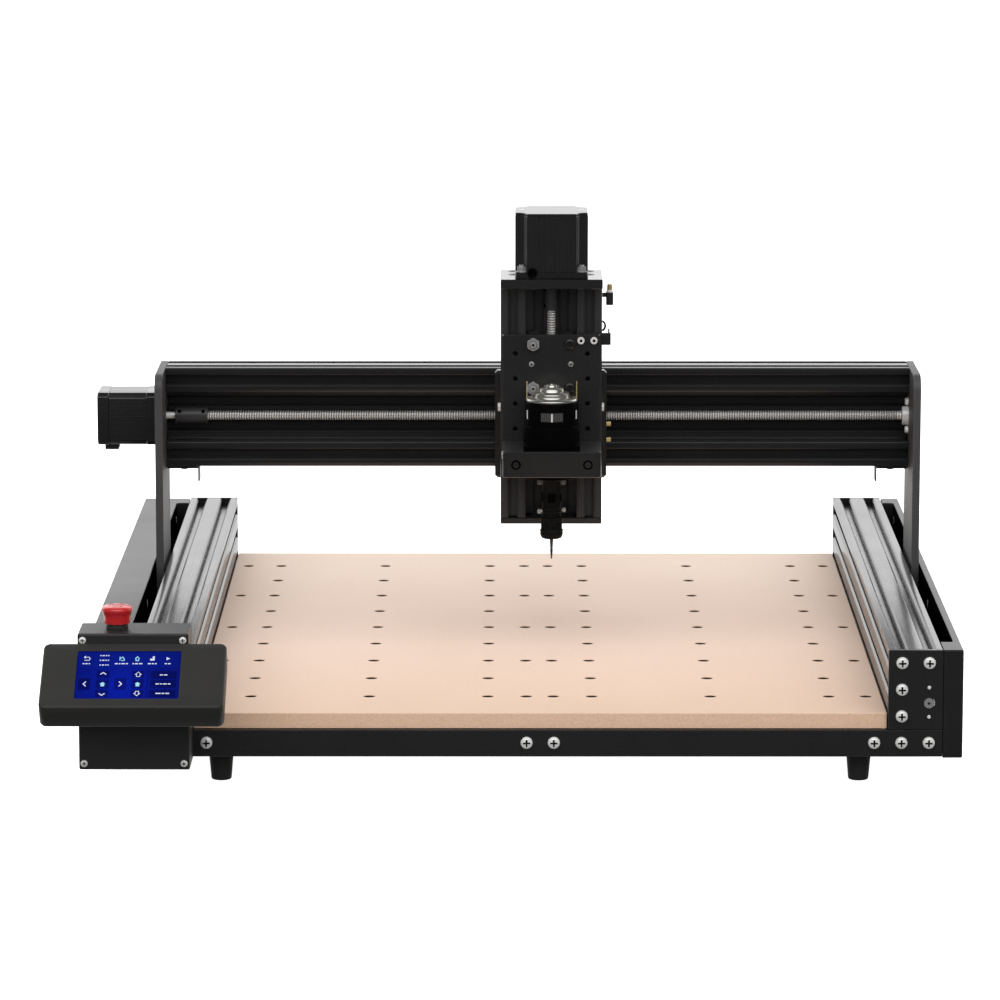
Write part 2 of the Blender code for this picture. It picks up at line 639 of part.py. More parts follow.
def make_z_axis():
    middle = (Z_RAIL_BOTTOM + Z_RAIL_TOP) / 2
    extruded("z_rail", C_BEAM, Z_RAIL_TOP - Z_RAIL_BOTTOM, ANODISED, (CARRIAGE_X, Z_RAIL_Y, middle),
             (0, 0, QUARTER))
    half = 0.040
    top_low = Z_RAIL_TOP + GAP
    top = bevel(box("z_top_plate", (CARRIAGE_X - half, Z_SCREW_Y - 0.031, top_low),
                    (CARRIAGE_X + half, X_PLATE_FRONT - GAP, Z_TOP_PLATE_TOP), ANODISED), 0.0005, 1)
    bottom = bevel(box("z_bottom_plate", (CARRIAGE_X - half, Z_RAIL_FRONT, Z_RAIL_BOTTOM - 0.005),
                       (CARRIAGE_X + half, X_PLATE_FRONT - GAP, Z_RAIL_BOTTOM - GAP), ANODISED), 0.0005, 1)
    radius = SCREW_RADIUS + 0.0006
    for plate, z, name in ((top, Z_TOP_PLATE_TOP, "shaft_way"), (bottom, Z_RAIL_BOTTOM, "bearing_way")):
        cut(plate, cylinder(name, radius, 0.03, (CARRIAGE_X, Z_SCREW_Y, z), ALONG_Z))


def make_z_switch():
    """A plunger switch on an arm at the rail's upper right side."""
    rail_side = CARRIAGE_X + 2 * CELL
    body = box("z_limit_switch", (0.0538, 0.0075, 0.3135), (0.0595, 0.0145, 0.3240), BLACK_PLASTIC)
    join(body, box("switch_arm", (rail_side + GAP, 0.0095, 0.3195), (0.0545, 0.0125, 0.3232)),
         cylinder("switch_plunger", 0.0014, 0.0080, (0.05665, 0.011, 0.3262), ALONG_Z, sides=10))


# ---------------------------------------------------------------- Z carriage and spindle
def make_z_carriage():
    half = 0.0385
    plate = bevel(box("z_carriage_plate", (CARRIAGE_X - half, Z_PLATE_FRONT, Z_PLATE_BOTTOM),
                      (CARRIAGE_X + half, Z_PLATE_BACK, Z_PLATE_TOP), ANODISED), 0.0006, 1)
    for row in range(4):
        for side in (-1, 1):
            cut(plate, cylinder(f"plate_hole_{row}_{side}", 0.0016, 0.02,
                                (CARRIAGE_X + side * 0.0283, Z_PLATE_FRONT, 0.2196 + row * 0.0199),
                                ALONG_Y, sides=8))
    for side_x in (-1, 1):
        for side_z, z in zip((-1, 1), Z_WHEEL_ROWS):
            x = CARRIAGE_X + side_x * WHEEL_OFFSET
            name = wheel_name("z", side_x, side_z)
            join(plate, axle(name + "_axle", x, z, Z_PLATE_BACK, Z_SCREW_Y))
            wheel(name, (x, Z_SCREW_Y, z))
    nut_z = sum(Z_WHEEL_ROWS) / 2
    block = bevel(box("z_nut", (CARRIAGE_X - 0.0185, Z_PLATE_BACK + GAP, nut_z - 0.0085),
                      (CARRIAGE_X + 0.0185, Z_RAIL_Y - 0.0015, nut_z + 0.0085), NUT_BLACK), 0.0006, 1)
    cut(block, cylinder("z_nut_bore", SCREW_RADIUS + GAP, 0.03, (CARRIAGE_X, Z_SCREW_Y, nut_z), ALONG_Z))
    bevel(box("switch_trigger", (0.0325, Z_PLATE_BACK + GAP, 0.2849), (0.0572, Z_PLATE_BACK + 0.004, 0.2944),
              ANODISED), 0.0003, 1)


def make_spindle():
    """The clamp block carries the motor on top; its nose passes through the block to the collet."""
    clamp = bevel(box("spindle_clamp", (CARRIAGE_X - CLAMP_HALF_WIDTH, CLAMP_FRONT, CLAMP_BOTTOM),
                      (CARRIAGE_X + CLAMP_HALF_WIDTH, Z_PLATE_FRONT - GAP, CLAMP_TOP), ANODISED), 0.0012, 2)
    cut(clamp, cylinder("nose_bore", 0.0126, 0.06, (CARRIAGE_X, SPINDLE_Y, CLAMP_BOTTOM), ALONG_Z, sides=24))
    base = CLAMP_TOP + GAP
    motor = [(0, 0.2590), (0.0035, 0.2590), (0.0035, 0.2572), (0.0105, 0.2565), (0.0110, 0.2540),
             (0.0150, 0.2530), (0.0155, 0.2505), (0.0198, 0.2492), (0.0210, 0.2480), (0.0210, 0.2278),
             (0.0220, 0.2273), (0.0220, base), (0.0122, base), (0.0122, CLAMP_BOTTOM - GAP), (0.0200, CLAMP_BOTTOM - GAP),
             (0.0200, 0.1868), (0.0105, 0.1868), (0.0105, 0.1838), (0.0077, 0.1838), (0.0077, 0.1542), (0, 0.1542)]
    turned("spindle_motor", motor, MOTOR_BLACK, (CARRIAGE_X, SPINDLE_Y, 0))
    nut = [(0, 0.1539), (0.0092, 0.1539), (0.0092, 0.1402), (0.0078, 0.1372), (0, 0.1372)]
    turned("collet_nut", nut, STEEL, (CARRIAGE_X, SPINDLE_Y, 0))
    bit = [(0, 0.1369), (0.0015, 0.1369), (0.0010, 0.1250), (0.0003, 0.1200), (0, 0.1200)]
    turned("end_mill", bit, STEEL, (CARRIAGE_X, SPINDLE_Y, 0), sides=12)


def make_router():
    make_rails()
    make_bed()
    make_end_plates()
    make_covers()
    make_control_board()
    make_feet()
    make_control_box()
    make_display()
    make_stop_button()
    make_y_motors()
    make_y_screws()
    make_gantry_plates()
    make_y_nuts()
    make_beam()
    make_x_motor()
    make_x_screw()
    make_x_carriage()
    make_z_axis()
    make_z_motor()
    make_z_switch()
    make_z_screw()
    make_z_carriage()
    make_spindle()


make_router()
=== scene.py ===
"""Looks of a desktop CNC router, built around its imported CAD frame.

Every piece is made directly in the row frame, in metres, and rides on the CAD body it belongs to.
Most places are written in millimetres from the middle of the bed and the floor, through at().
"""

import math

import bmesh
import bpy
from mathutils import Matrix, Vector


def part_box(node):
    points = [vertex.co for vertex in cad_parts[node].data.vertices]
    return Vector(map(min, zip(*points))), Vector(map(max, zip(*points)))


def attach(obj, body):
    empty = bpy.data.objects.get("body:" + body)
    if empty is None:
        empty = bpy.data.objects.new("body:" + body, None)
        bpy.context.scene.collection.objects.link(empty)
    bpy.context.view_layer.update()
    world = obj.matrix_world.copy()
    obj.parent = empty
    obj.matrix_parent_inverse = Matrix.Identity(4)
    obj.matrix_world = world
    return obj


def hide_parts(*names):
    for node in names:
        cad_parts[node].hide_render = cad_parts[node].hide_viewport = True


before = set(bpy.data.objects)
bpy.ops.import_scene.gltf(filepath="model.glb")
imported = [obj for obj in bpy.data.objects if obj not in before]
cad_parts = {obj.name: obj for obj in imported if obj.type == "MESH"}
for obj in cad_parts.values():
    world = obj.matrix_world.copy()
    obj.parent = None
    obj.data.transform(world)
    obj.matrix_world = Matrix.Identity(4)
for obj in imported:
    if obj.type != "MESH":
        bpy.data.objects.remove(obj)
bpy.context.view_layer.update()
TURN = 2 * math.pi


def centre(node):
    low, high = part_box(node)
    return (low + high) / 2


BED = centre("spoilboard")


def at(x, y, z):
    """A point given in millimetres from the middle of the bed, and above the floor."""
    return Vector((BED.x + x / 1000, BED.y + y / 1000, z / 1000))


def mm(*points):
    """A profile given in millimetres."""
    return [(first / 1000, second / 1000) for first, second in points]


# ---------------------------------------------------------------- placing
FACINGS = {  # the directions that local X and Y take
    "+x": ((0, 1, 0), (0, 0, 1)),
    "-x": ((0, -1, 0), (0, 0, 1)),
    "+y": ((-1, 0, 0), (0, 0, 1)),
    "-y": ((1, 0, 0), (0, 0, 1)),
    "+z": ((1, 0, 0), (0, 1, 0)),
    "-z": ((1, 0, 0), (0, -1, 0)),
}


def basis(point, across, up):
    """A matrix whose local X and Y run along two given directions, with its origin at a point."""
    across, up = Vector(across).normalized(), Vector(up).normalized()
    matrix = Matrix((across, up, across.cross(up))).transposed().to_4x4()
    matrix.translation = point
    return matrix


def facing(direction, point):
    """A matrix at a point whose local Z looks along a main direction, such as "-y"."""
    return basis(point, *FACINGS[direction])


def shifted(place, x, y, z):
    """A matrix moved along its own axes."""
    return place @ Matrix.Translation((x, y, z))


def turned(place, angle):
    """A matrix turned about its own Z."""
    return place @ Matrix.Rotation(angle, 4, "Z")


# ---------------------------------------------------------------- outlines, in local X and Y
def circle(x, y, radius, steps=24, hole=False):
    turn = -TURN if hole else TURN
    return [(x + radius * math.cos(turn * i / steps), y + radius * math.sin(turn * i / steps))
        for i in range(steps)]


def fillet(points, steps=3):
    """Rounds the corners of an outline of (x, y, radius) points."""
    rounded = []
    count = len(points)
    for index, (x, y, radius) in enumerate(points):
        corner = Vector((x, y))
        before = Vector(points[index - 1][:2]) - corner
        after = Vector(points[(index + 1) % count][:2]) - corner
        if radius <= 0:
            rounded.append((x, y))
            continue
        half = before.angle(after) / 2
        reach = radius / math.tan(half)
        start = corner + before.normalized() * reach
        end = corner + after.normalized() * reach
        middle = corner + (before.normalized() + after.normalized()).normalized() * radius / math.sin(half)
        first, last = start - middle, end - middle
        for step in range(steps + 1):
            blend = first.slerp(last, step / steps).normalized() * radius
            rounded.append(tuple(middle + blend))
    return rounded


def rectangle(width, height, radius=0.0, steps=4, x=0.0, y=0.0):
    corners = [(-1, -1), (1, -1), (1, 1), (-1, 1)]
    points = [(x + a * width / 2, y + b * height / 2, radius) for a, b in corners]
    return fillet(points, steps)


def inset(loop, distance):
    """Moves an outline inwards; a hole, which runs the other way round, grows."""
    moved = []
    count = len(loop)
    for index in range(count):
        previous, here, following = (Vector(loop[(index + k) % count]) for k in (-1, 0, 1))
        first, second = (here - previous).normalized(), (following - here).normalized()
        normals = Vector((-first.y, first.x)) + Vector((-second.y, second.x))
        moved.append(tuple(here + normals * distance / max(0.2, 1 + first.dot(second))))
    return moved


def hexagon(flat):
    """Radius of a hexagon by angle, for half its width across flats."""
    return lambda angle: flat / math.cos((angle + TURN / 12) % (TURN / 6) - TURN / 12)


def cross(arm, half_width):
    """Radius of a four-armed cross by angle."""
    def radius(angle):
        folded = abs((angle + TURN / 8) % (TURN / 4) - TURN / 8)
        return min(arm / math.cos(folded), half_width / max(math.sin(folded), 0.01))
    return radius


def filled(loops):
    """Faces over flat outlines with holes, as indices into all their points in order."""
    if len(loops) == 1:
        return [list(range(len(loops[0])))]
    flat = bmesh.new()
    edges = []
    for loop in loops:
        corners = [flat.verts.new((x, y, 0)) for x, y in loop]
        edges += [flat.edges.new(pair) for pair in zip(corners, corners[1:] + corners[:1])]
    flat.verts.index_update()
    bmesh.ops.triangle_fill(flat, use_beauty=True, use_dissolve=False, edges=edges)
    faces = [[vertex.index for vertex in face.verts] for face in flat.faces]
    flat.free()
    return faces


# ---------------------------------------------------------------- mesh building
class Shape:
    """Vertices and faces in the row frame, gathered until they become one piece."""

    def __init__(self):
        self.points, self.faces, self.paints = [], [], []

    def face(self, corners, paint=0):
        self.faces.append(corners)
        self.paints.append(paint)

    def rings(self, levels, matrix, sides=24, closed=False, deep=()):
        """Rings of (radius, height) joined in order; a radius may be a function of the angle, or 0.
        The bands numbered in deep take the second material."""
        rows = []
        for radius, height in levels:
            row = []
            for step in range(1 if radius == 0 else sides):
                angle = TURN * step / sides
                size = radius(angle) if callable(radius) else radius
                row.append(len(self.points))
                self.points.append(matrix @ Vector((size * math.cos(angle), size * math.sin(angle), height)))
            rows.append(row)
        pairs = list(zip(rows, rows[1:])) + ([(rows[-1], rows[0])] if closed else [])
        for band, (below, above) in enumerate(pairs):
            for i in range(sides):
                j = (i + 1) % sides
                quad = [below[i % len(below)], below[j % len(below)], above[j % len(above)],
                    above[i % len(above)]]
                corners = list(dict.fromkeys(quad))
                if len(corners) > 2:
                    self.face(corners, 1 if band in deep else 0)
        if not closed:
            for row in (rows[0], rows[-1]):
                if len(row) > 1:
                    self.face(list(row))
        return self

    def prism(self, loops, low, high, matrix, chamfer=0.0):
        """An outline and its holes made solid between two heights, with chamfered ends."""
        levels = [(low, 0), (high, 0)]
        if chamfer:
            levels = [(low, chamfer), (low + chamfer, 0), (high - chamfer, 0), (high, chamfer)]
        starts = []
        for height, shrink in levels:
            starts.append(len(self.points))
            for loop in loops:
                for x, y in (inset(loop, shrink) if shrink else loop):
                    self.points.append(matrix @ Vector((x, y, height)))
        for below, above in zip(starts, starts[1:]):
            first = 0
            for loop in loops:
                count = len(loop)
                for i in range(count):
                    j = (i + 1) % count
                    self.face([below + first + i, below + first + j, above + first + j, above + first + i])
                first += count
        for start in (starts[0], starts[-1]):
            for corners in filled(loops):
                self.face([start + corner for corner in corners])
        return self

    def block(self, low, high, radius=0.0004):
        """A box between two corners with chamfered edges all round."""
        size = high - low
        radius = min(radius, min(size) * 0.3)
        outline = rectangle(size.x, size.y, radius, 1)
        return self.prism([outline], -size.z / 2, size.z / 2, facing("+z", (low + high) / 2), radius * 0.6)

    def thread(self, radius, depth, pitch, lead, low, high, matrix, per_pitch=4, sides=16):
        """A right-handed screw thread along local Z."""
        def surface(height):
            def size(angle):
                phase = ((height - lead * angle / TURN) / pitch) % 1
                return radius - depth * min(1.0, max(0.0, 2.6 * abs(2 * phase - 1) - 0.8))
            return size
        rows = max(2, round((high - low) / pitch * per_pitch))
        heights = [low + (high - low) * row / rows for row in range(rows + 1)]
        return self.rings([(surface(height), height) for height in heights], matrix, sides)

    def sweep(self, path, radius, sides=10):
        """A round rod that follows points in the row frame."""
        rows = []
        for index, point in enumerate(path):
            along = (path[min(index + 1, len(path) - 1)] - path[max(index - 1, 0)]).normalized()
            side = along.orthogonal().normalized() if index == 0 else (side - along
                * side.dot(along)).normalized()
            over = along.cross(side)
            row = []
            for step in range(sides):
                angle = TURN * step / sides
                row.append(len(self.points))
                self.points.append(point + (side * math.cos(angle) + over * math.sin(angle)) * radius)
            rows.append(row)
        for below, above in zip(rows, rows[1:]):
            for i in range(sides):
                j = (i + 1) % sides
                self.face([below[i], below[j], above[j], above[i]])
        self.face(rows[0])
        self.face(rows[-1])
        return self

    def piece(self, name, body, materials, slot=None, replaces=(), sharp=32):
        """Makes the object, rides it on its CAD body and hides the CAD nodes it replaces; the slot argument
        is not used.
        """
        mesh = bpy.data.meshes.new(name)
        mesh.from_pydata([tuple(point) for point in self.points], [], self.faces)
        mesh.polygons.foreach_set("material_index", self.paints)
        solid = bmesh.new()
        solid.from_mesh(mesh)
        bmesh.ops.recalc_face_normals(solid, faces=solid.faces)
        solid.to_mesh(mesh)
        solid.free()
        for material in materials if isinstance(materials, (list, tuple)) else [materials]:
            mesh.materials.append(material)
        mesh.shade_smooth()
        mesh.set_sharp_from_angle(angle=math.radians(sharp))
        thing = bpy.data.objects.new(name, mesh)
        bpy.context.scene.collection.objects.link(thing)
        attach(thing, body)
        if replaces:
            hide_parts(*([replaces] if isinstance(replaces, str) else replaces))
        return thing


# ---------------------------------------------------------------- materials
def add(tree, kind, values=(), **settings):
    """A shader node with its settings, and its inputs' values by name or number."""
    made = tree.nodes.new("ShaderNode" + kind)
    for key, value in settings.items():
        setattr(made, key, value)
    for key, value in dict(values).items():
        made.inputs[key].default_value = value
    return made


def new_material(name):
    material = bpy.data.materials.new(name)
    material.use_nodes = True
    return material, material.node_tree, material.node_tree.nodes["Principled BSDF"]


def mapped_noise(tree, scale, detail=5.0, roughness=0.6):
    """Noise over the row frame, with its own scale along each axis, per metre."""
    place = add(tree, "TexCoord")
    stretch = add(tree, "Mapping", {"Scale": scale if hasattr(scale, "__len__") else (scale,) * 3})
    noise = add(tree, "TexNoise", {"Scale": 1.0, "Detail": detail, "Roughness": roughness})
    tree.links.new(place.outputs["Object"], stretch.inputs["Vector"])
    tree.links.new(stretch.outputs["Vector"], noise.inputs["Vector"])
    return noise.outputs["Fac"]


def ramp(tree, source, stops):
    """A colour ramp of (position, colour) stops."""
    made = add(tree, "ValToRGB")
    while len(made.color_ramp.elements) < len(stops):
        made.color_ramp.elements.new(0.5)
    for element, (position, colour) in zip(made.color_ramp.elements, stops):
        element.position = position
        element.color = (*colour, 1)
    tree.links.new(source, made.inputs["Fac"])
    return made.outputs["Color"]


def between(tree, source, low, high, start=0.3, end=0.7):
    """A number that follows a source from low to high."""
    made = add(tree, "MapRange", {"From Min": start, "From Max": end, "To Min": low, "To Max": high})
    tree.links.new(source, made.inputs["Value"])
    return made.outputs["Result"]


def mixed(tree, factor, first, second, blend="MIX"):
    made = add(tree, "Mix", data_type="RGBA", blend_type=blend)
    for socket, value in ((made.inputs[0], factor), (made.inputs[6], first), (made.inputs[7], second)):
        if isinstance(value, (tuple, float)):
            socket.default_value = (*value, 1) if isinstance(value, tuple) else value
        else:
            tree.links.new(value, socket)
    return made.outputs[2]


def edge_wear_and_sheen(tree, width, patchy):
    """How much a place takes the edge colour, which is wear on most materials and a painted highlight on
    some: 1 on edges, where a rounded normal leaves the true one, and 0 elsewhere.
    """
    rounded = add(tree, "Bevel", {"Radius": width}, samples=4)
    true = add(tree, "NewGeometry")
    agree = add(tree, "VectorMath", operation="DOT_PRODUCT")
    tree.links.new(rounded.outputs["Normal"], agree.inputs[0])
    tree.links.new(true.outputs["Normal"], agree.inputs[1])
    edge = between(tree, agree.outputs["Value"], 1.0, 0.0, 0.80, 0.985)
    broken = add(tree, "Math", operation="MULTIPLY")
    tree.links.new(edge, broken.inputs[0])
    tree.links.new(between(tree, patchy, 0.25, 1.0, 0.35, 0.62), broken.inputs[1])
    return broken.outputs["Value"]


def surface(name, colours, roughness, grain, cloud=14.0, bump=0.08, depth=0.0001, metallic=0.0, ior=1.5,
        wear_and_sheen=None, edge_band_width=0.0007, bands=None, band_depth=0.2):
    """A surface with fine grain and slow clouding in its colour, roughness and relief, and edges in a second
    colour: wear on most materials, a painted highlight on some.
    """
    material, tree, shader = new_material(name)
    fine = mapped_noise(tree, grain)
    slow = mapped_noise(tree, cloud, 3.0)
    colour = mixed(tree, 0.45, ramp(tree, fine, [(0.32, colours[0]), (0.68, colours[1])]),
        ramp(tree, slow, [(0.30, colours[0]), (0.70, colours[1])]))
    relief = fine
    # dark bands across the axis: seams between a motor's laminations, and on the lead screws painted shade in
    # the thread's grooves
    if bands:
        axis, per_metre = bands
        place = add(tree, "TexCoord")
        wave = add(tree, "TexWave", {"Scale": per_metre / 3.1831, "Distortion": 0.15}, bands_direction=axis,
            wave_profile="SIN")
        tree.links.new(place.outputs["Object"], wave.inputs["Vector"])
        relief = wave.outputs["Fac"]
        colour = mixed(tree, between(tree, relief, 0.0, band_depth, 0.35, 0.6), colour, (0.02, 0.02, 0.02))
    if wear_and_sheen:
        colour = mixed(tree, edge_wear_and_sheen(tree, edge_band_width, slow), colour, wear_and_sheen)
    tree.links.new(colour, shader.inputs["Base Color"])
    both = add(tree, "Math", operation="ADD")
    tree.links.new(between(tree, fine, roughness[0], roughness[1], 0.3, 0.7), both.inputs[0])
    tree.links.new(between(tree, slow, -0.015, 0.025, 0.3, 0.7), both.inputs[1])
    tree.links.new(both.outputs["Value"], shader.inputs["Roughness"])
    raised = add(tree, "Bump", {"Strength": bump, "Distance": depth})
    tree.links.new(relief, raised.inputs["Height"])
    tree.links.new(raised.outputs["Normal"], shader.inputs["Normal"])
    shader.inputs["Metallic"].default_value = metallic
    shader.inputs["IOR"].default_value = ior
    return material


def greys(dark, light, blue=0.0):
    """A darker and a lighter grey, with a little more or less blue in both."""
    return (dark, dark, dark + blue), (light, light, light + blue)


BLACK = ((0.0068, 0.0068, 0.0071), (0.0098, 0.0098, 0.0100))
WORN = (0.040, 0.040, 0.041)
ALONG = {"x": (5, 2600, 2600), "y": (2600, 5, 2600), "z": (2600, 2600, 5)}


def anodised(axis, tone, roughness, ior):
    """Black anodised extrusion, with faint die lines along its length."""
    return surface("anodised_along_" + axis, (tone, (tone[0] * 1.35, tone[1] * 1.35, tone[2] * 1.35)),
        roughness, ALONG[axis], bump=0.03, depth=0.00002, ior=ior, wear_and_sheen=WORN)


# one anodised finish in three copies, one per axis for the die lines; their tones differ as painted light:
# the Z rail's is the lightest, to brighten its front, and the Y rails' the darkest
EXTRUSION = {"x": anodised("x", (0.0100, 0.0100, 0.0104), (0.18, 0.23), 1.48),
    "y": anodised("y", (0.0068, 0.0068, 0.0071), (0.23, 0.28), 1.80), "z": anodised("z",
    (0.0260, 0.0260, 0.0264), (0.23, 0.28), 1.50)}
PLATE = surface("anodised_plate", greys(0.0092, 0.0126, 0.0003), (0.26, 0.34), 1500, bump=0.04, depth=0.00003,
    ior=1.75, wear_and_sheen=WORN)
COVER = surface("anodised_cover", BLACK, (0.34, 0.44), 1500, bump=0.10, depth=0.00004, ior=1.60, wear_and_sheen=WORN)
GANTRY = surface("anodised_gantry", greys(0.040, 0.052, 0.001), (0.44, 0.56), 1500, bump=0.10, depth=0.00004,
    ior=1.5, wear_and_sheen=(0.10, 0.10, 0.10))
TOP_PLATE = surface("anodised_smooth", BLACK, (0.14, 0.22), 1500, bump=0.04, depth=0.00002, ior=2.3,
    wear_and_sheen=WORN)
COUPLER = surface("anodised_turned", greys(0.025, 0.034, 0.002), (0.30, 0.42), 1300, bump=0.08, depth=0.00004,
    wear_and_sheen=(0.12, 0.12, 0.12))
MOTOR_CAP = surface("motor_cap_paint", greys(0.0045, 0.0070, 0.0003), (0.18, 0.28), 1900, bump=0.08,
    depth=0.00003, ior=2.1, wear_and_sheen=(0.030, 0.030, 0.030))
STACK = {axis: surface("motor_laminations_" + axis, ((0.0045, 0.0045, 0.0045), (0.0075, 0.0075, 0.0078)),
    (0.22, 0.34), ALONG[axis], bump=0.06, depth=0.00004, ior=1.9, bands=(axis.upper(), 1000))
    for axis in "xyz"}
PLASTIC = surface("moulded_black_plastic", ((0.017, 0.016, 0.015), (0.025, 0.024, 0.023)), (0.42, 0.56), 2300,
    bump=0.22, depth=0.00005, wear_and_sheen=(0.05, 0.05, 0.05))
SHELL = surface("painted_box", greys(0.0135, 0.0185), (0.38, 0.50), 2600, bump=0.20, depth=0.00005, ior=1.5,
    wear_and_sheen=(0.035, 0.035, 0.035))
RUBBER = surface("foot_rubber", greys(0.012, 0.018), (0.62, 0.80), 1800, bump=0.30, depth=0.00008)
SOFT_BLACK = surface("nut_polymer", greys(0.011, 0.020), (0.36, 0.50), 1500, bump=0.10, depth=0.00005,
    wear_and_sheen=(0.05, 0.05, 0.05))
BLACK_STEEL = surface("black_oxide_steel", greys(0.0055, 0.010, 0.0005), (0.26, 0.38), 1700, bump=0.08,
    depth=0.00003, ior=1.7, wear_and_sheen=(0.05, 0.05, 0.05))
# near black for the hollows of screw heads, nuts and studs: painted shade in the sockets and round the studs
RECESS_SHADE = surface("recess_painted_shade", greys(0.004, 0.009), (0.45, 0.60), 1500, bump=0.10)
STEEL = surface("zinc_steel", greys(0.74, 0.88, -0.01), (0.18, 0.30), 1400, bump=0.05, depth=0.00002,
    metallic=0.35)
SILVER, DARK = [STEEL, RECESS_SHADE], [BLACK_STEEL, RECESS_SHADE]
DARK_STEEL = surface("oiled_steel", greys(0.070, 0.115), (0.24, 0.38), 1400, bump=0.06, depth=0.00003,
    metallic=0.30)
# the dark bands at the thread's pitch are painted shade in its grooves
THREAD = {axis: surface("lead_screw_steel_" + axis, ((0.76, 0.74, 0.72), (0.92, 0.90, 0.88)), (0.22, 0.32),
    1400, cloud=30, bump=0.04, depth=0.00002, metallic=0.40, bands=(axis.upper(), 500), band_depth=0.62)
    for axis in "xyz"}
NICKEL = surface("nickel_end_cap", ((0.50, 0.49, 0.45), (0.66, 0.65, 0.60)), (0.09, 0.17), (1400, 1400, 60),
    bump=0.08, depth=0.00003, metallic=0.9)
BRASS = surface("brass", ((0.46, 0.36, 0.15), (0.66, 0.54, 0.28)), (0.20, 0.34), 1400, bump=0.06,
    depth=0.00003, metallic=0.5)
NYLON = surface("pale_nylon", ((0.62, 0.60, 0.55), (0.74, 0.72, 0.68)), (0.40, 0.55), 1200, bump=0.10)
# its pale red edges are a painted highlight round the cap's rim
RED = surface("stop_red", ((0.40, 0.008, 0.010), (0.49, 0.013, 0.016)), (0.14, 0.24), 1100, bump=0.06,
    depth=0.00003, ior=1.95, wear_and_sheen=(0.55, 0.08, 0.08))
WHEEL = surface("wheel_polymer", greys(0.012, 0.022), (0.30, 0.44), 1300, bump=0.10, depth=0.00004)
BUTTON_BLACK = surface("rocker_black", greys(0.012, 0.020), (0.25, 0.40), 1500, bump=0.06)


DEEP_BLACK = surface("spindle_lacquer", ((0.0008, 0.0008, 0.0009), (0.0022, 0.0022, 0.0024)), (0.22, 0.34),
    1500, bump=0.06, depth=0.00003, ior=1.12)
# a black that hardly reflects, for black parts and for the sheets that paint shade and a reflection
FLAT_BLACK = surface("flat_black", ((0.0010, 0.0010, 0.0011), (0.0026, 0.0026, 0.0028)), (0.60, 0.75), 1500,
    bump=0.10, depth=0.00003, ior=1.02)
# plated steel whose bright edges are painted highlights
PLATED = surface("plated_steel", greys(0.26, 0.36), (0.16, 0.28), 1400, bump=0.05, depth=0.00002,
    metallic=0.45, wear_and_sheen=(0.85, 0.85, 0.84))
# dark brown for the linings of the bed's holes: painted shade on their walls
HOLE_WALL_SHADE = surface("hole_wall_painted_shade", ((0.030, 0.020, 0.015), (0.060, 0.040, 0.029)), (0.55, 0.70), 1500,
    bump=0.15, depth=0.00004, ior=1.3)
NOSE_BLACK = surface("nose_black", ((0.0030, 0.0030, 0.0030), (0.0055, 0.0055, 0.0056)), (0.24, 0.36), 1500,
    bump=0.06, depth=0.00003, ior=1.17, wear_and_sheen=(0.030, 0.030, 0.030))
SHAFT_END = surface("shaft_end_steel", greys(0.19, 0.27), (0.30, 0.42), 1400, bump=0.06, depth=0.00003,
    metallic=0.30)


def board_material():
    """Fibreboard: a pale pinkish face with fine fibres, and darker, denser sawn edges and hole walls."""
    material, tree, shader = new_material("bed_fibreboard")
    fibres = mapped_noise(tree, (900, 380, 900), 8.0, 0.7)
    specks = mapped_noise(tree, 2600, 2.0, 0.5)
    clouds = mapped_noise(tree, (5.0, 3.0, 30.0), 3.0, 0.5)
    face = ramp(tree, fibres, [(0.28, (0.68, 0.510, 0.400)), (0.72, (0.80, 0.625, 0.515))])
    face = mixed(tree, 0.35, face, ramp(tree, clouds, [(0.3, (0.69, 0.515, 0.405)),
        (0.7, (0.83, 0.655, 0.545))]))
    face = mixed(tree, between(tree, specks, 0.0, 0.40, 0.60, 0.74), face, (0.55, 0.38, 0.27))
    # painted shade: the face is darker and browner towards the front and a little cooler towards the rear,
    # standing in for light that falls most on the middle of the bed
    place = add(tree, "TexCoord")
    where = add(tree, "SeparateXYZ")
    tree.links.new(place.outputs["Object"], where.inputs["Vector"])
    depth = between(tree, where.outputs["Y"], 0.0, 1.0, -0.29, 0.34)
    painted_falloff = ramp(tree, depth, [(0.0, (0.82, 0.78, 0.73)), (0.38, (1.0, 0.99, 1.0)),
        (1.0, (0.89, 0.93, 0.96))])
    face = mixed(tree, 1.0, face, painted_falloff, "MULTIPLY")
    edge = ramp(tree, fibres, [(0.30, (0.56, 0.365, 0.245)), (0.70, (0.74, 0.510, 0.365))])
    shape = add(tree, "NewGeometry")
    parts = add(tree, "SeparateXYZ")
    tree.links.new(shape.outputs["Normal"], parts.inputs["Vector"])
    upward = between(tree, parts.outputs["Z"], 0.0, 1.0, 0.55, 0.85)
    tree.links.new(mixed(tree, upward, edge, face), shader.inputs["Base Color"])
    tree.links.new(between(tree, fibres, 0.62, 0.82), shader.inputs["Roughness"])
    raised = add(tree, "Bump", {"Strength": 0.25, "Distance": 0.0001})
    tree.links.new(fibres, raised.inputs["Height"])
    tree.links.new(raised.outputs["Normal"], shader.inputs["Normal"])
    shader.inputs["IOR"].default_value = 1.4
    return material


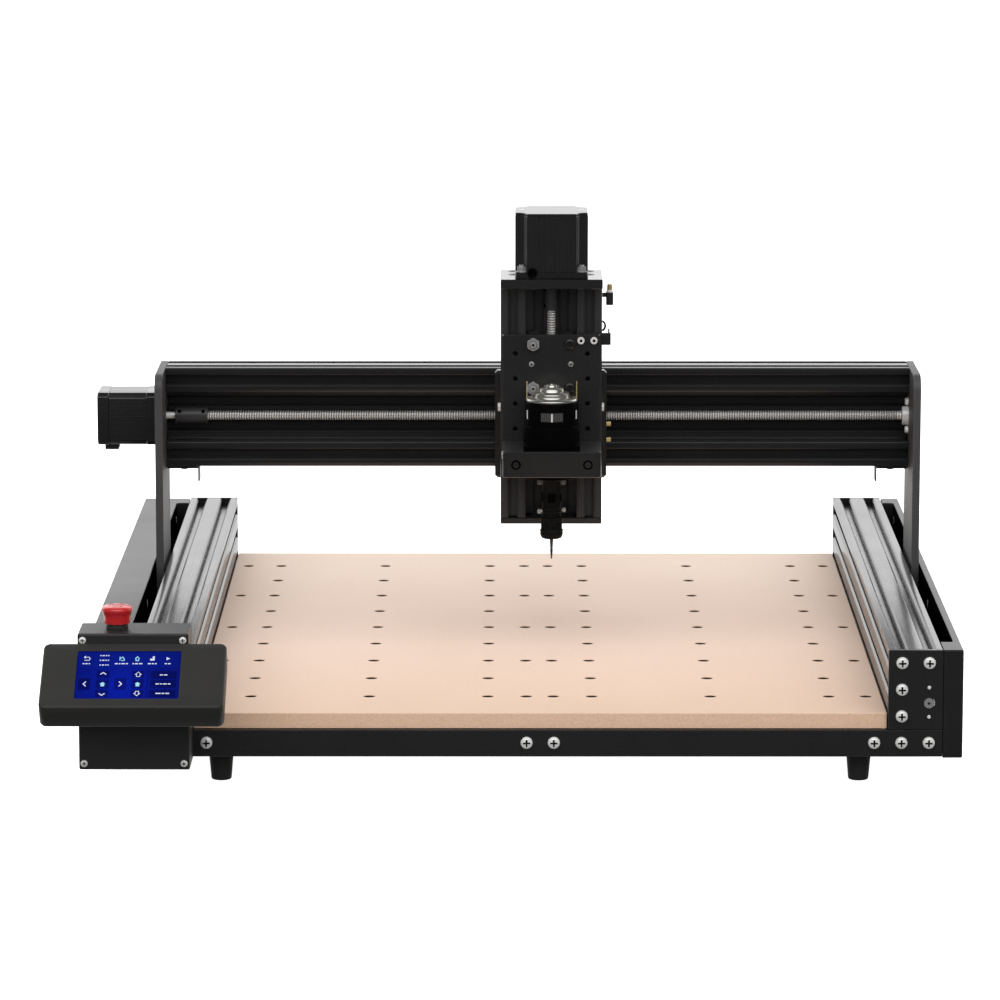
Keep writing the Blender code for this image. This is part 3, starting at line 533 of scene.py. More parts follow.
def screen_material(name, dark, bright, strength, centre_point, reach):
    """A lit panel whose blue brightens slowly towards one place, under clear glass."""
    material, tree, shader = new_material(name)
    place = add(tree, "TexCoord")
    away = add(tree, "VectorMath", {1: centre_point}, operation="DISTANCE")
    tree.links.new(place.outputs["Object"], away.inputs[0])
    near = between(tree, away.outputs["Value"], 1.0, 0.0, 0.0, reach)
    cells = mapped_noise(tree, 700, 2.0)
    colour = mixed(tree, near, dark, bright)
    colour = mixed(tree, between(tree, cells, 0.0, 0.12), colour, bright)
    tree.links.new(mixed(tree, 0.75, colour, (0.0, 0.0, 0.0)), shader.inputs["Base Color"])
    tree.links.new(colour, shader.inputs["Emission Color"])
    tree.links.new(between(tree, cells, 0.06, 0.14), shader.inputs["Roughness"])
    shader.inputs["Emission Strength"].default_value = strength
    shader.inputs["IOR"].default_value = 1.45
    return material


def circuit_material():
    """Green board with copper tracks under its varnish."""
    material, tree, shader = new_material("circuit_board")
    place = add(tree, "TexCoord")
    tracks = add(tree, "TexBrick", {"Color1": (0.010, 0.085, 0.040, 1), "Color2": (0.014, 0.110, 0.050, 1),
        "Mortar": (0.05, 0.17, 0.07, 1), "Scale": 120.0, "Mortar Size": 0.018})
    turned_place = add(tree, "Mapping", {"Rotation": (0, TURN / 4, 0)})
    tree.links.new(place.outputs["Object"], turned_place.inputs["Vector"])
    tree.links.new(turned_place.outputs["Vector"], tracks.inputs["Vector"])
    tree.links.new(tracks.outputs["Color"], shader.inputs["Base Color"])
    tree.links.new(between(tree, mapped_noise(tree, 300), 0.22, 0.38), shader.inputs["Roughness"])
    return material


BOARD = board_material()
CIRCUIT = circuit_material()


def keep(node, material):
    """A CAD node whose shape is right stays, in a better material."""
    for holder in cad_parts[node].material_slots:
        holder.material = material


# ---------------------------------------------------------------- fasteners
def pan_head(shape, place, radius=0.0045, height=0.0028):
    """A pan head with a cross recess."""
    r, h = radius, height
    shape.rings([(r, 0), (r, 0.25 * h), (0.975 * r, 0.50 * h), (0.88 * r, 0.76 * h), (0.72 * r, 0.94 * h),
        (cross(0.62 * r, 0.15 * r), h), (cross(0.54 * r, 0.11 * r), 0.45 * h), (0, 0.30 * h)], place, 40,
        deep=(5, 6))


def button_head(shape, place, radius=0.0040, height=0.0022, socket=0.5):
    """A low domed head with a hexagon socket."""
    r, h = radius, height
    shape.rings([(r, 0), (r, 0.2 * h), (0.95 * r, 0.5 * h), (0.82 * r, 0.80 * h), (0.66 * r, 0.96 * h),
        (hexagon(socket * r), h), (hexagon(socket * r), 0.35 * h), (0, 0.3 * h)], place, 24, deep=(5, 6))


def cap_head(shape, place, radius=0.0028, height=0.0030, socket=0.5):
    """A cylinder head with a hexagon socket."""
    r, h = radius, height
    shape.rings([(r, 0), (r, 0.88 * h), (0.92 * r, h), (hexagon(socket * r), h),
        (hexagon(socket * r), 0.4 * h), (0, 0.34 * h)], place, 24, deep=(3, 4))


def nut_and_stud(shape, place, flat=0.0048, height=0.0042, stud=0.0025, proud=0.0022):
    """A hexagon nut with turned corners on the end of a stud."""
    hexed = hexagon(flat)

    def corners_cut(angle):
        return min(hexed(angle), flat * 1.04)
    shape.rings([(hexed, 0), (hexed, 0.82 * height), (corners_cut, height), (stud * 1.12, height),
        (stud * 1.06, height - 0.0004), (stud, height - 0.0002), (stud, height + proud - 0.0004),
        (stud * 0.8, height + proud), (hexagon(stud * 0.42), height + proud),
        (hexagon(stud * 0.42), height + proud - 0.0014), (0, height + proud - 0.0016)], place, 36,
        deep=(3, 4, 8, 9))


def washer(shape, place, radius=0.0045, bore=0.0024, height=0.0006):
    shape.rings([(bore, 0), (radius, 0), (radius, height), (bore, height)], place, 24, closed=True)


def ball_bearing(shape, place, radius, bore, half):
    """Two steel races with a recessed shield between them, all in one ring."""
    step = (radius - bore) / 4
    for sign in (1, -1):
        shape.rings([(bore, 0), (bore, sign * half), (bore + step, sign * half),
            (bore + step, sign * half * 0.8), (radius - step, sign * half * 0.8),
            (radius - step, sign * half), (radius, sign * half), (radius, 0)], place, 28)


TREAD = mm((4.6, 4.4), (5.3, 4.4), (5.5, 4.2), (7.5, 2.3), (7.6, 2), (7.6, -2), (7.5, -2.3), (5.5, -4.2),
    (5.3, -4.4), (4.6, -4.4))


def bearing(name, body, place, bore):
    race = Shape()
    ball_bearing(race, place, 0.00435, bore, 0.0032)
    race.piece(name + "_bearing", body, STEEL, "steel")


def wheel_post(shape, place, reach, start, head, edge, end):
    """A spacer and an axle up to a wheel, and the axle's head behind it."""
    shape.rings([(0.0039, start), (0.0039, reach - 0.0047), (0.0025, reach - 0.0047),
        (0.0025, reach + 0.0047), (head, reach + 0.0047), (head, reach + edge), (head - 0.0004, reach + end),
        (0, reach + end)], place, 24)


def v_wheel(name, body, middle, replaces=()):
    """A small V-wheel on a ball bearing that turns about Y."""
    place = facing("+y", middle)
    hub = mm((4.6, -3.4), (4.4, -3), (4.4, 3), (4.6, 3.4))
    tyre = Shape().rings(TREAD + hub, place, 40, closed=True)
    tyre.piece(name + "_tyre", body, WHEEL, "wheel_plastic", replaces)
    bearing(name, body, place, 0.0028)


def y_wheel(name, middle):
    """A V-wheel in a Y rail's channel, about X."""
    place = facing("+x", middle)
    tyre = Shape().rings(TREAD + [(0.0044, -0.0030), (0.0044, 0.0030)], place, 36, closed=True)
    tyre.piece(name, "gantry", WHEEL, "wheel_plastic")
    bearing(name, "gantry", place, 0.0026)


# ---------------------------------------------------------------- extrusions
CELL = 0.020
SLOT_SHAPE = ((-4.6, 0, 0.3), (-3.1, 1.5, 0.15), (-3.1, 1.9, 0), (-5.5, 1.9, 0), (-5.5, 3.5, 0),
    (-2.9, 6.1, 0), (2.9, 6.1, 0), (5.5, 3.5, 0), (5.5, 1.9, 0), (3.1, 1.9, 0), (3.1, 1.5, 0.15),
    (4.6, 0, 0.3))


def slotted(corners, radius=0.0012):
    """A counter-clockwise outline with a V-slot and its inner groove in every 20 mm of its sides."""
    points = []
    for index, (start, end) in enumerate(zip(corners, corners[1:] + corners[:1])):
        start, end = Vector(start), Vector(end)
        before = Vector(corners[index - 1])
        along = (end - start).normalized()
        inward = Vector((-along.y, along.x))
        hollow = (start - before).cross(end - start) < 0
        points.append((start.x, start.y, 0.0004 if hollow else radius))
        for cell in range(round((end - start).length / CELL)):
            for offset, depth, corner in SLOT_SHAPE:
                place = start + along * ((cell + 0.5) * CELL + offset / 1000) + inward * depth / 1000
                points.append((place.x, place.y, corner / 1000))
    return fillet(points, 2)


C_BEAM = slotted([(-CELL, -2 * CELL), (CELL, -2 * CELL), (CELL, 2 * CELL), (-CELL, 2 * CELL), (-CELL, CELL),
    (0, CELL), (0, -CELL), (-CELL, -CELL)])
FLAT_BEAM = slotted([(-CELL, -CELL / 2), (CELL, -CELL / 2), (CELL, CELL / 2), (-CELL, CELL / 2)])
SQUARE_BEAM = slotted([(-CELL / 2, -CELL / 2), (CELL / 2, -CELL / 2), (CELL / 2, CELL / 2),
    (-CELL / 2, CELL / 2)])


def beam(node, body, outline, across, up, material):
    """An extrusion in place of a CAD node, over that node's whole length."""
    low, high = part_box(node)
    matrix = basis((low + high) / 2, across, up)
    along = matrix.to_3x3() @ Vector((0, 0, 1))
    half = abs((high - low).dot(along)) / 2
    shape = Shape().prism([outline], -half, half, matrix, 0.00025)
    shape.piece(node + "_extrusion", body, material, "black_anodised", node)


def make_extrusions():
    """Every extrusion, with its section's long side upright or level."""
    beam("y_rail_left", "frame", C_BEAM, (1, 0, 0), (0, 0, 1), EXTRUSION["y"])
    beam("y_rail_right", "frame", C_BEAM, (-1, 0, 0), (0, 0, 1), EXTRUSION["y"])
    beam("x_beam", "gantry", C_BEAM, (0, 1, 0), (0, 0, 1), EXTRUSION["x"])
    beam("z_rail", "x_carriage", C_BEAM, (0, 1, 0), (1, 0, 0), EXTRUSION["z"])
    beam("bed_support_centre", "frame", FLAT_BEAM, (1, 0, 0), (0, 0, 1), EXTRUSION["y"])
    for side in ("left", "right"):
        beam("bed_support_" + side, "frame", SQUARE_BEAM, (1, 0, 0), (0, 0, 1), EXTRUSION["y"])


# ---------------------------------------------------------------- bed, feet, covers and front plates
ROW_STEP = 64.8
DENSE_COLUMNS = (38.75, 127.3, 215.7)
MIDDLE_COLUMN = 10.0
SPARSE_COLUMNS = (MIDDLE_COLUMN, 243.5)


def hole_places():
    """X and Y of the board's holes, in millimetres from its middle: every other row has four more."""
    for row in range(-4, 5):
        for column in DENSE_COLUMNS if row % 2 else DENSE_COLUMNS + SPARSE_COLUMNS:
            for x in (-column, column):
                yield x, row * ROW_STEP


def make_bed():
    """The drilled board; in each hole a dark brown lining, painted shade on its wall; insert floors in most,
    in black steel that also deepens the holes' shade; and a black strip under its front, painted shade in the
    gap there.
    """
    low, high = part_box("spoilboard")
    loops = [rectangle(high.x - low.x, high.y - low.y, 0.0006, 2)]
    loops += [circle(x / 1000, y / 1000, 0.0044, 28, hole=True) for x, y in hole_places()]
    middle = facing("+z", (low + high) / 2)
    thick = high.z - low.z
    Shape().prism(loops, -thick / 2, thick / 2, middle, 0.0004).piece("spoilboard_drilled", "frame", BOARD,
        "bed_board", "spoilboard", 25)
    inserts, hole_shades = Shape(), Shape()
    for x, y in hole_places():
        # insert floors in black steel, partly their own colour and partly painted shade in the holes
        if abs(x) != MIDDLE_COLUMN:
            inserts.rings(mm((4.1, 0), (4.1, 0.6), (2.8, 0.6), (2.6, 0.2)), facing("+z", at(x, y, 44.4)), 20)
        # a thin dark brown lining on each hole's wall: painted shade in the hole
        hole_shades.rings([(0.00432, 0.0008), (0.00432, thick - 0.0006), (0.00415, thick - 0.0006),
            (0.00415, 0.0008)], facing("+z", at(x, y, low.z * 1000)), 28, closed=True)
    inserts.piece("bed_insert_floors", "frame", BLACK_STEEL, "steel")
    hole_shades.piece("bed_hole_painted_shade", "frame", HOLE_WALL_SHADE, "bed_board")
    # a flat black strip under the board's front edge: painted shade in the gap between the board and the
    # front cross plate
    front_gap_shade = Shape().block(Vector((low.x + 0.002, low.y + 0.0006, low.z - 0.0060)),
        Vector((high.x - 0.002, low.y + 0.0018, low.z - 0.0001)), 0.0002)
    front_gap_shade.piece("bed_front_gap_shade", "frame", FLAT_BLACK, "rubber")


def make_feet():
    """Tapered feet with a screw each."""
    shape = None
    for side in ("left", "right"):
        for end in ("front", "rear"):
            name = f"foot_{end}_{side}"
            low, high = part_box(name)
            middle = (low + high) / 2
            tall = high.z - low.z
            levels = [(0.0, 0.006), (0.0028, 0.006), (0.0028, 0.0008), (0.0038, 0.0), (0.0068, 0.0),
                (0.0074, 0.0005), (0.0076, 0.0013), (0.0094, tall - 0.0008), (0.0092, tall - 0.0002),
                (0.0088, tall), (0.0, tall)]
            foot = Shape().rings(levels, facing("+z", (middle.x, middle.y, low.z)), 40)
            foot.piece(name + "_moulded", "frame", RUBBER, "rubber", name)
            shape = shape or Shape()
            cap_head(shape, facing("-z", (middle.x, middle.y, low.z + 0.006)), 0.0025, 0.0022)
    shape.piece("foot_screws", "frame", SILVER, "steel")


CROSS_SCREWS = (-285.5, -265.4, -245.4, -10.0, 10.0, 245.4, 265.4, 285.5)
PLATE_FACE = 321.6
COVER_END = 315.6


def make_front_and_rear_screws():
    heads, dark, dots = Shape(), Shape(), Shape()
    for direction, y in (("-y", -PLATE_FACE), ("+y", PLATE_FACE)):
        for x in CROSS_SCREWS:
            pan_head(heads, facing(direction, at(x, y, 34.5)))
        for side in (-1, 1):
            for x, z in ((265.4, 94.4), (265.4, 74.4), (265.4, 54.4), (285.4, 94.4)):
                pan_head(heads, facing(direction, at(side * x, y, z)))
            if direction == "-y":
                for z in (54.0, 76.0):
                    dots.rings(mm((1.3, 0), (1.3, 0.3), (0.9, 0.6), (0, 0.6)),
                        facing(direction, at(side * 285.4, y, z)), 16)
    heads.piece("frame_screws", "frame", SILVER, "steel")
    dots.piece("bearing_pins", "frame", STEEL, "steel")
    covers = [("-y", -330.0, -PLATE_FACE, z) for z in (40.0, 96.0)]
    covers += [("+y", -330.0, COVER_END, z) for z in (40.0, 96.0)]
    covers += [("+y", 303.0, COVER_END, z) for z in (36.0, 92.0)]
    for direction, x, y, z in covers:
        button_head(dark, facing(direction, at(x, y, z)), 0.0026, 0.0012)
    dark.piece("cover_screws", "frame", DARK, "nut_black")


def make_cover_wall_screws():
    """Flush screws in the outer walls of the gantry's slots, and flat black sheets over those walls, painted
    shade in the slots.
    """
    flush = Shape()
    for direction, x in (("-x", 305.0), ("+x", -306.0)):
        for y, z in ((283.0, 91.0), (-68.0, 88.5)):
            flush.rings([(0.0034, -0.0002), (0.0034, 0.0002), (0.0028, 0.0004),
                (cross(0.0019, 0.0005), 0.0004), (cross(0.0017, 0.0004), 0.0), (0, 0.0)],
                facing(direction, at(x, y, z)), 32, deep=(3, 4))
    flush.piece("cover_wall_screws", "frame", SILVER, "steel")
    # flat black sheets over the slots' outer walls: painted shade in the slots
    cavity_shade_sheets = Shape()
    for cover, x in (("side_cover_right", 304.9), ("electronics_enclosure", -305.9)):
        low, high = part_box(cover)
        wall = at(x, 0, 0).x
        cavity_shade_sheets.block(Vector((wall - 0.00008, low.y + 0.003, low.z + 0.004)),
            Vector((wall + 0.00008, high.y - 0.003, high.z - 0.0006)), 0.00003)
    cavity_shade_sheets.piece("cover_cavity_painted_shade", "frame", FLAT_BLACK, "black_anodised")


def make_power_inlet():
    """A socket and a rocker switch in the rear opening of the electronics enclosure."""
    low, high = at(-328.1, 311.0, 45.2), at(-312.1, 316.9, 71.8)
    bezel = Shape()
    middle = (low + high) / 2
    face = facing("+y", (middle.x, low.y, middle.z))
    outer = rectangle(0.0156, 0.0262, 0.0012, 3)
    rocker_hole = rectangle(0.0112, 0.0098, 0.0006, 2, 0, 0.0066)[::-1]
    socket_hole = circle(0, -0.0062, 0.0043, 28, hole=True)
    bezel.prism([outer, rocker_hole, socket_hole], 0.0, 0.0056, face, 0.0003)
    bezel.piece("power_bezel", "frame", PLASTIC, "black_plastic")
    rocker = Shape()
    tilt = Matrix.Rotation(math.radians(7), 4, "X")
    rocker.prism([rectangle(0.0106, 0.0092, 0.0006, 2)], -0.004, 0.0010,
        shifted(face, 0, 0.0066, 0.0048) @ tilt, 0.0004)
    rocker.piece("power_rocker", "frame", BUTTON_BLACK, "black_plastic")
    pin = Shape()
    pin.rings(mm((4.1, 0), (4.1, 5), (3, 5), (3, 0.8), (1, 0.8), (1, 4.4), (0.6, 5), (0, 5)),
        shifted(face, 0, -0.0062, 0), 28)
    pin.piece("power_socket", "frame", STEEL, "steel")


# ---------------------------------------------------------------- control box, display and stop button
DISPLAY_TILT = math.radians(31.8)
GLASS = centre("display_glass")
DOWN = Vector((0, -math.cos(DISPLAY_TILT), -math.sin(DISPLAY_TILT)))
OUTWARD = Vector((0, -math.sin(DISPLAY_TILT), math.cos(DISPLAY_TILT)))
GLASS_SIZE = (0.0745, 0.0490)
GLASS_FACE = basis(GLASS + OUTWARD * 0.00045, (1, 0, 0), -DOWN)


def on_screen(u, v):
    """Local X and Y on the glass from shares of its width, from the left, and height, from the top."""
    return (u - 0.5) * GLASS_SIZE[0], (0.5 - v) * GLASS_SIZE[1]


def stroke(points, width):
    """The outline of an open line of given width through points on the glass."""
    half = width / 2
    path = [Vector(on_screen(u, v)) for u, v in points]
    left, right = [], []
    for index, point in enumerate(path):
        before = path[index] - path[index - 1] if index else path[1] - path[0]
        after = path[index + 1] - point if index < len(path) - 1 else before
        normal = Vector((-before.normalized().y, before.normalized().x))
        other = Vector((-after.normalized().y, after.normalized().x))
        offset = (normal + other) / max(0.3, 1 + normal.dot(other)) * half
        left.append(tuple(point + offset))
        right.append(tuple(point - offset))
    return right + left[::-1]


def make_screen_icons():
    """Generic pictograms and plain bars: no letters."""
    ink, cyan, tiles, counterbore_shades = Shape(), Shape(), Shape(), Shape()

    def patch(shape, u, v, width, height, lift, radius=0.0004):
        x, y = on_screen(u, v)
        loop = rectangle(width * GLASS_SIZE[0], height * GLASS_SIZE[1], radius, 2, x, y)
        shape.prism([loop], lift - 0.00002, lift, GLASS_FACE)

    def line(shape, points, width=0.0006, lift=0.00010):
        shape.prism([stroke(points, width)], lift - 0.00002, lift, GLASS_FACE)

    def dashes(u, v, lengths, height=0.022):
        total = sum(lengths) + 0.009 * (len(lengths) - 1)
        start = u - total / 2
        for length in lengths:
            patch(ink, start + length / 2, v, length, height, 0.00010, 0.00015)
            start += length + 0.009

    # panels: a top bar, a jog pad, a column beside it and three keys
    patch(tiles, 0.5, 0.185, 0.965, 0.31, 0.00004, 0.0008)
    for u, v, width, height in ((0.085, 0.69, 0.115, 0.25), (0.262, 0.49, 0.125, 0.16),
            (0.262, 0.69, 0.125, 0.19), (0.262, 0.89, 0.125, 0.16), (0.432, 0.69, 0.115, 0.25),
            (0.600, 0.49, 0.115, 0.16), (0.600, 0.69, 0.115, 0.19), (0.600, 0.89, 0.115, 0.16)):
        patch(counterbore_shades, u, v, width, height, 0.00004)
    for v in (0.50, 0.69, 0.89):
        patch(counterbore_shades, 0.845, v, 0.255, 0.165, 0.00004)
    patch(counterbore_shades, 0.693, 0.69, 0.012, 0.58, 0.00004, 0.0001)

    # top bar: a way back, three readings, two homes, a spindle and a start arrow
    line(ink, [(0.068, 0.125), (0.112, 0.125), (0.124, 0.157), (0.112, 0.190), (0.068, 0.190)])
    line(ink, [(0.080, 0.100), (0.066, 0.125), (0.080, 0.150)])
    for v in (0.09, 0.19, 0.29):
        dashes(0.262, v, (0.014, 0.022, 0.014, 0.012))
    line(cyan, [(0.412, 0.115), (0.412, 0.195)], 0.0007)
    line(cyan, [(0.420, 0.155), (0.436, 0.120), (0.452, 0.155), (0.452, 0.195), (0.424, 0.195)], 0.0007)
    line(cyan, [(0.560, 0.160), (0.580, 0.115), (0.600, 0.160)], 0.0008)
    line(cyan, [(0.568, 0.165), (0.568, 0.198), (0.592, 0.198), (0.592, 0.165)], 0.0008)
    patch(ink, 0.738, 0.130, 0.020, 0.050, 0.00010, 0.0002)
    patch(ink, 0.726, 0.175, 0.044, 0.040, 0.00010, 0.0002)
    x, y = on_screen(0.876, 0.155)
    ink.prism([[(x - 0.0011, y - 0.0016), (x + 0.0017, y), (x - 0.0011, y + 0.0016)]], 0.00008, 0.0001,
        GLASS_FACE)
    dashes(0.090, 0.262, (0.018, 0.022, 0.014))
    dashes(0.428, 0.262, (0.030, 0.016, 0.034, 0.020))
    dashes(0.584, 0.262, (0.014, 0.030, 0.034))
    dashes(0.727, 0.262, (0.030, 0.020, 0.018))
    dashes(0.876, 0.262, (0.022, 0.026))

    # chevrons round a home, and a second column for height
    for u, v, along, over in ((0.262, 0.47, 0.028, -0.040), (0.262, 0.91, 0.028, 0.040)):
        line(ink, [(u - along, v - over / 2), (u, v + over / 2), (u + along, v - over / 2)], 0.0008)
    for u, side in ((0.090, -1), (0.432, 1)):
        line(ink, [(u - side * 0.012, 0.64), (u + side * 0.014, 0.69), (u - side * 0.012, 0.74)], 0.0008)
    for u in (0.262, 0.600):
        x, y = on_screen(u, 0.70)
        house = [(x - 0.0013, y - 0.0020), (x + 0.0013, y - 0.0020), (x + 0.0013, y + 0.0004),
            (x + 0.0021, y + 0.0004), (x, y + 0.0024), (x - 0.0021, y + 0.0004), (x - 0.0013, y + 0.0004)]
        cyan.prism([house], 0.00008, 0.0001, GLASS_FACE)
    for v, flip in ((0.49, 1), (0.89, -1)):
        line(ink, [(0.600 - 0.016, v + flip * 0.045), (0.600 - 0.016, v), (0.600 - 0.028, v),
            (0.600, v - flip * 0.05), (0.600 + 0.028, v), (0.600 + 0.016, v),
            (0.600 + 0.016, v + flip * 0.045), (0.600 - 0.016, v + flip * 0.045)], 0.0005)
    dashes(0.845, 0.50, (0.030, 0.034))
    dashes(0.845, 0.69, (0.034, 0.018, 0.040, 0.026))
    dashes(0.845, 0.89, (0.050, 0.026, 0.038))

    middle = tuple(GLASS + DOWN * 0.012 - Vector((0.004, 0, 0)))
    panel = screen_material("screen_panel", (0.0008, 0.0090, 0.30), (0.0012, 0.019, 0.60), 0.23, middle,
        0.034)
    well = screen_material("screen_keys", (0.0007, 0.0050, 0.16), (0.0009, 0.009, 0.32), 0.24, middle, 0.030)
    bar = screen_material("screen_bar", (0.0010, 0.0090, 0.26), (0.0020, 0.020, 0.46), 0.30, middle, 0.050)
    glow = screen_material("screen_marks", (0.62, 0.68, 0.90), (0.80, 0.84, 1.0), 0.65, middle, 0.060)
    glow_cyan = screen_material("screen_homes", (0.20, 0.62, 0.85), (0.45, 0.85, 0.95), 0.6, middle, 0.060)
    glass = Shape().prism([rectangle(*GLASS_SIZE, 0.0015)], -0.0009, 0.0, GLASS_FACE, 0.0001)
    glass.piece("screen_panel_glass", "frame", panel, "screen_glass", "display_glass")
    tiles.piece("screen_bar_tile", "frame", bar, "screen_glass")
    counterbore_shades.piece("screen_key_tiles", "frame", well, "screen_glass")
    ink.piece("screen_icons", "frame", glow, "screen_glass")
    cyan.piece("screen_home_icons", "frame", glow_cyan, "screen_glass")


def make_display():
    """A softly rounded slab whose face is cut away round the glass, flat where it meets the box."""
    low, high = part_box("display_housing")
    top_edge = Vector(((low.x + high.x) / 2, at(0, -365.0, 0).y, 0.1183))
    width, length, thick, deep = high.x - low.x, 0.067, 0.020, 0.0015
    face = basis(top_edge + DOWN * length / 2, (1, 0, 0), -DOWN)
    outer = rectangle(width, length, 0.005, 8)
    offset = face.inverted() @ GLASS
    hole = rectangle(GLASS_SIZE[0] + 0.0006, GLASS_SIZE[1] + 0.0006, 0.0016, 4, offset.x, offset.y)
    slab = Shape()
    edges = [(0.0, 0.0014), (-0.0002, 0.0009), (-0.0006, 0.0004), (-0.0014, 0.0), (-(thick - 0.0014), 0.0),
        (-(thick - 0.0004), 0.0006), (-thick, 0.0014)]
    starts = []
    for height, shrink in edges:
        starts.append(len(slab.points))
        slab.points += [face @ Vector((x, y, height)) for x, y in (inset(outer, shrink) if shrink else outer)]
    count = len(outer)
    for below, above in zip(starts, starts[1:]):
        for i in range(count):
            j = (i + 1) % count
            slab.face([below + i, below + j, above + j, above + i])
    slab.face([starts[-1] + i for i in range(count)])
    rim = len(slab.points)
    slab.points += [face @ Vector((x, y, 0)) for x, y in hole]
    floor = len(slab.points)
    slab.points += [face @ Vector((x, y, -deep)) for x, y in hole]
    ring = inset(outer, edges[0][1])
    for corners in filled([ring, hole[::-1]]):
        slab.face([i if i < count else rim + len(hole) - 1 - (i - count) for i in corners])
    for i in range(len(hole)):
        j = (i + 1) % len(hole)
        slab.face([rim + i, rim + j, floor + j, floor + i])
    slab.face([floor + i for i in range(len(hole))])
    thing = slab.piece("display_slab", "frame", PLASTIC, "black_plastic", "display_housing")
    flatten_behind(thing, high.y)


def flatten_behind(thing, limit):
    """Cuts a piece flat at a plane across Y and closes the cut."""
    solid = bmesh.new()
    solid.from_mesh(thing.data)
    bmesh.ops.remove_doubles(solid, verts=solid.verts, dist=0.000001)
    everything = list(solid.verts) + list(solid.edges) + list(solid.faces)
    made = bmesh.ops.bisect_plane(solid, geom=everything, plane_co=(0, limit, 0), plane_no=(0, 1, 0),
        clear_outer=True)
    edges = [part for part in made["geom_cut"] if isinstance(part, bmesh.types.BMEdge)]
    bmesh.ops.holes_fill(solid, edges=edges)
    solid.to_mesh(thing.data)
    solid.free()


def make_control_box():
    """The corner screws and the seams of the box."""
    low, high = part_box("control_box")
    screws, seam = Shape(), Shape()
    for x in (low.x + 0.0038, high.x - 0.0042):
        for z in (low.z + 0.0048, high.z - 0.0048):
            pan_head(screws, facing("-y", (x, low.y, z)), 0.0026, 0.0016)
    screws.piece("control_box_screws", "frame", SILVER, "steel")
    left, right, front, rear = low.x + 0.002, high.x - 0.002, low.y + 0.0031, low.y + 0.0035
    for z in (low.z - 0.00006, high.z + 0.00006):
        start = len(seam.points)
        seam.points += [Vector((x, y, z)) for x, y in ((left, front), (right, front), (right, rear),
            (left, rear))]
        seam.face([start, start + 1, start + 2, start + 3])
    seam.piece("control_box_seam", "frame", SOFT_BLACK, "black_plastic")


def make_stop_button():
    """A mushroom cap with three arrows, over its collar."""
    low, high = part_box("estop_button")
    box_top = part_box("control_box")[1].z
    base = facing("+z", ((low.x + high.x) / 2, (low.y + high.y) / 2, box_top))
    cap = mm((0, 17.4), (3, 17.38), (5.8, 17.25), (8, 17.05), (9.6, 16.7), (10.7, 16.15), (11.3, 15.4),
        (11.5, 14.5), (11.35, 13.5), (10.9, 12.6), (10.2, 11.2), (9.8, 9.6), (9.65, 8), (9.5, 5.6),
        (9.4, 4.5), (9.1, 4.3), (8.3, 4.3), (8.3, 9), (3, 9), (3, 1), (0, 1))
    Shape().rings(cap, base, 56).piece("stop_button_cap", "stop_button", RED, "stop_red", "estop_button", 40)
    arrows = Shape()
    for index in range(3):
        begin = TURN * index / 3
        outer = [(begin + k * 0.16, 0.0066) for k in range(9)]
        inner = [(begin + k * 0.16, 0.0056) for k in range(9)][::-1]
        loop = [(r * math.cos(a), r * math.sin(a)) for a, r in outer + inner]
        arrows.prism([loop], 0.01700, 0.01736, base)
    arrows.piece("stop_button_marks", "stop_button", RED, "stop_red")
    collar = mm((3.6, 0.2), (8, 0.2), (8.1, 0.6), (8.1, 2.8), (7.9, 3.3), (7.3, 4.1), (7, 4.2), (3.6, 4.2))
    Shape().rings(collar, base, 48, closed=True).piece("stop_collar_turned", "frame", PLASTIC,
        "black_plastic", "estop_collar")


# ---------------------------------------------------------------- motors
def cut_square(size, corner, steps=1):
    """A square outline with straight or round corners."""
    half = size / 2
    if steps > 1:
        return rectangle(size, size, corner, steps)
    reach = half - corner
    return fillet([(x, y, 0.0006) for x, y in ((reach, -half), (half, -reach), (half, reach), (reach, half),
        (-reach, half), (-half, reach), (-half, -reach), (-reach, -half))], 2)


def stepper(name, node, body, place, size, length, axis, socket=None):
    """A square stepper: two cast ends, a laminated middle, a shaft boss, screws, and a plug socket."""
    caps = Shape()
    front, rear = 0.0085, 0.0095
    caps.prism([cut_square(size, 0.0032)], 0.0, front, place, 0.0005)
    caps.prism([cut_square(size, 0.0032)], length - rear, length, place, 0.0008)
    caps.rings([(0.0060, length - 0.0002), (0.0060, length), (0.0040, length), (0.0040, length - 0.0015),
        (0, length - 0.0015)], place, 28)
    caps.piece(name + "_ends", body, MOTOR_CAP, "motor_black", node)
    stack = Shape().prism([cut_square(size - 0.0004, 0.0040)], front - 0.0002, length - rear + 0.0002, place)
    stack.piece(name + "_laminations", body, STACK[axis], "motor_black")
    screws = Shape()
    reach = 0.0155
    for x in (-reach, reach):
        for y in (-reach, reach):
            cap_head(screws, shifted(place, x, y, length - 0.0024), 0.0027, 0.0022)
    screws.piece(name + "_screws", body, [DARK_STEEL, RECESS_SHADE], "steel")
    if socket:
        plug = Shape()
        low, high = socket
        plug.block(low, high, 0.0005)
        plug.piece(name + "_socket", body, PLASTIC, "motor_black")


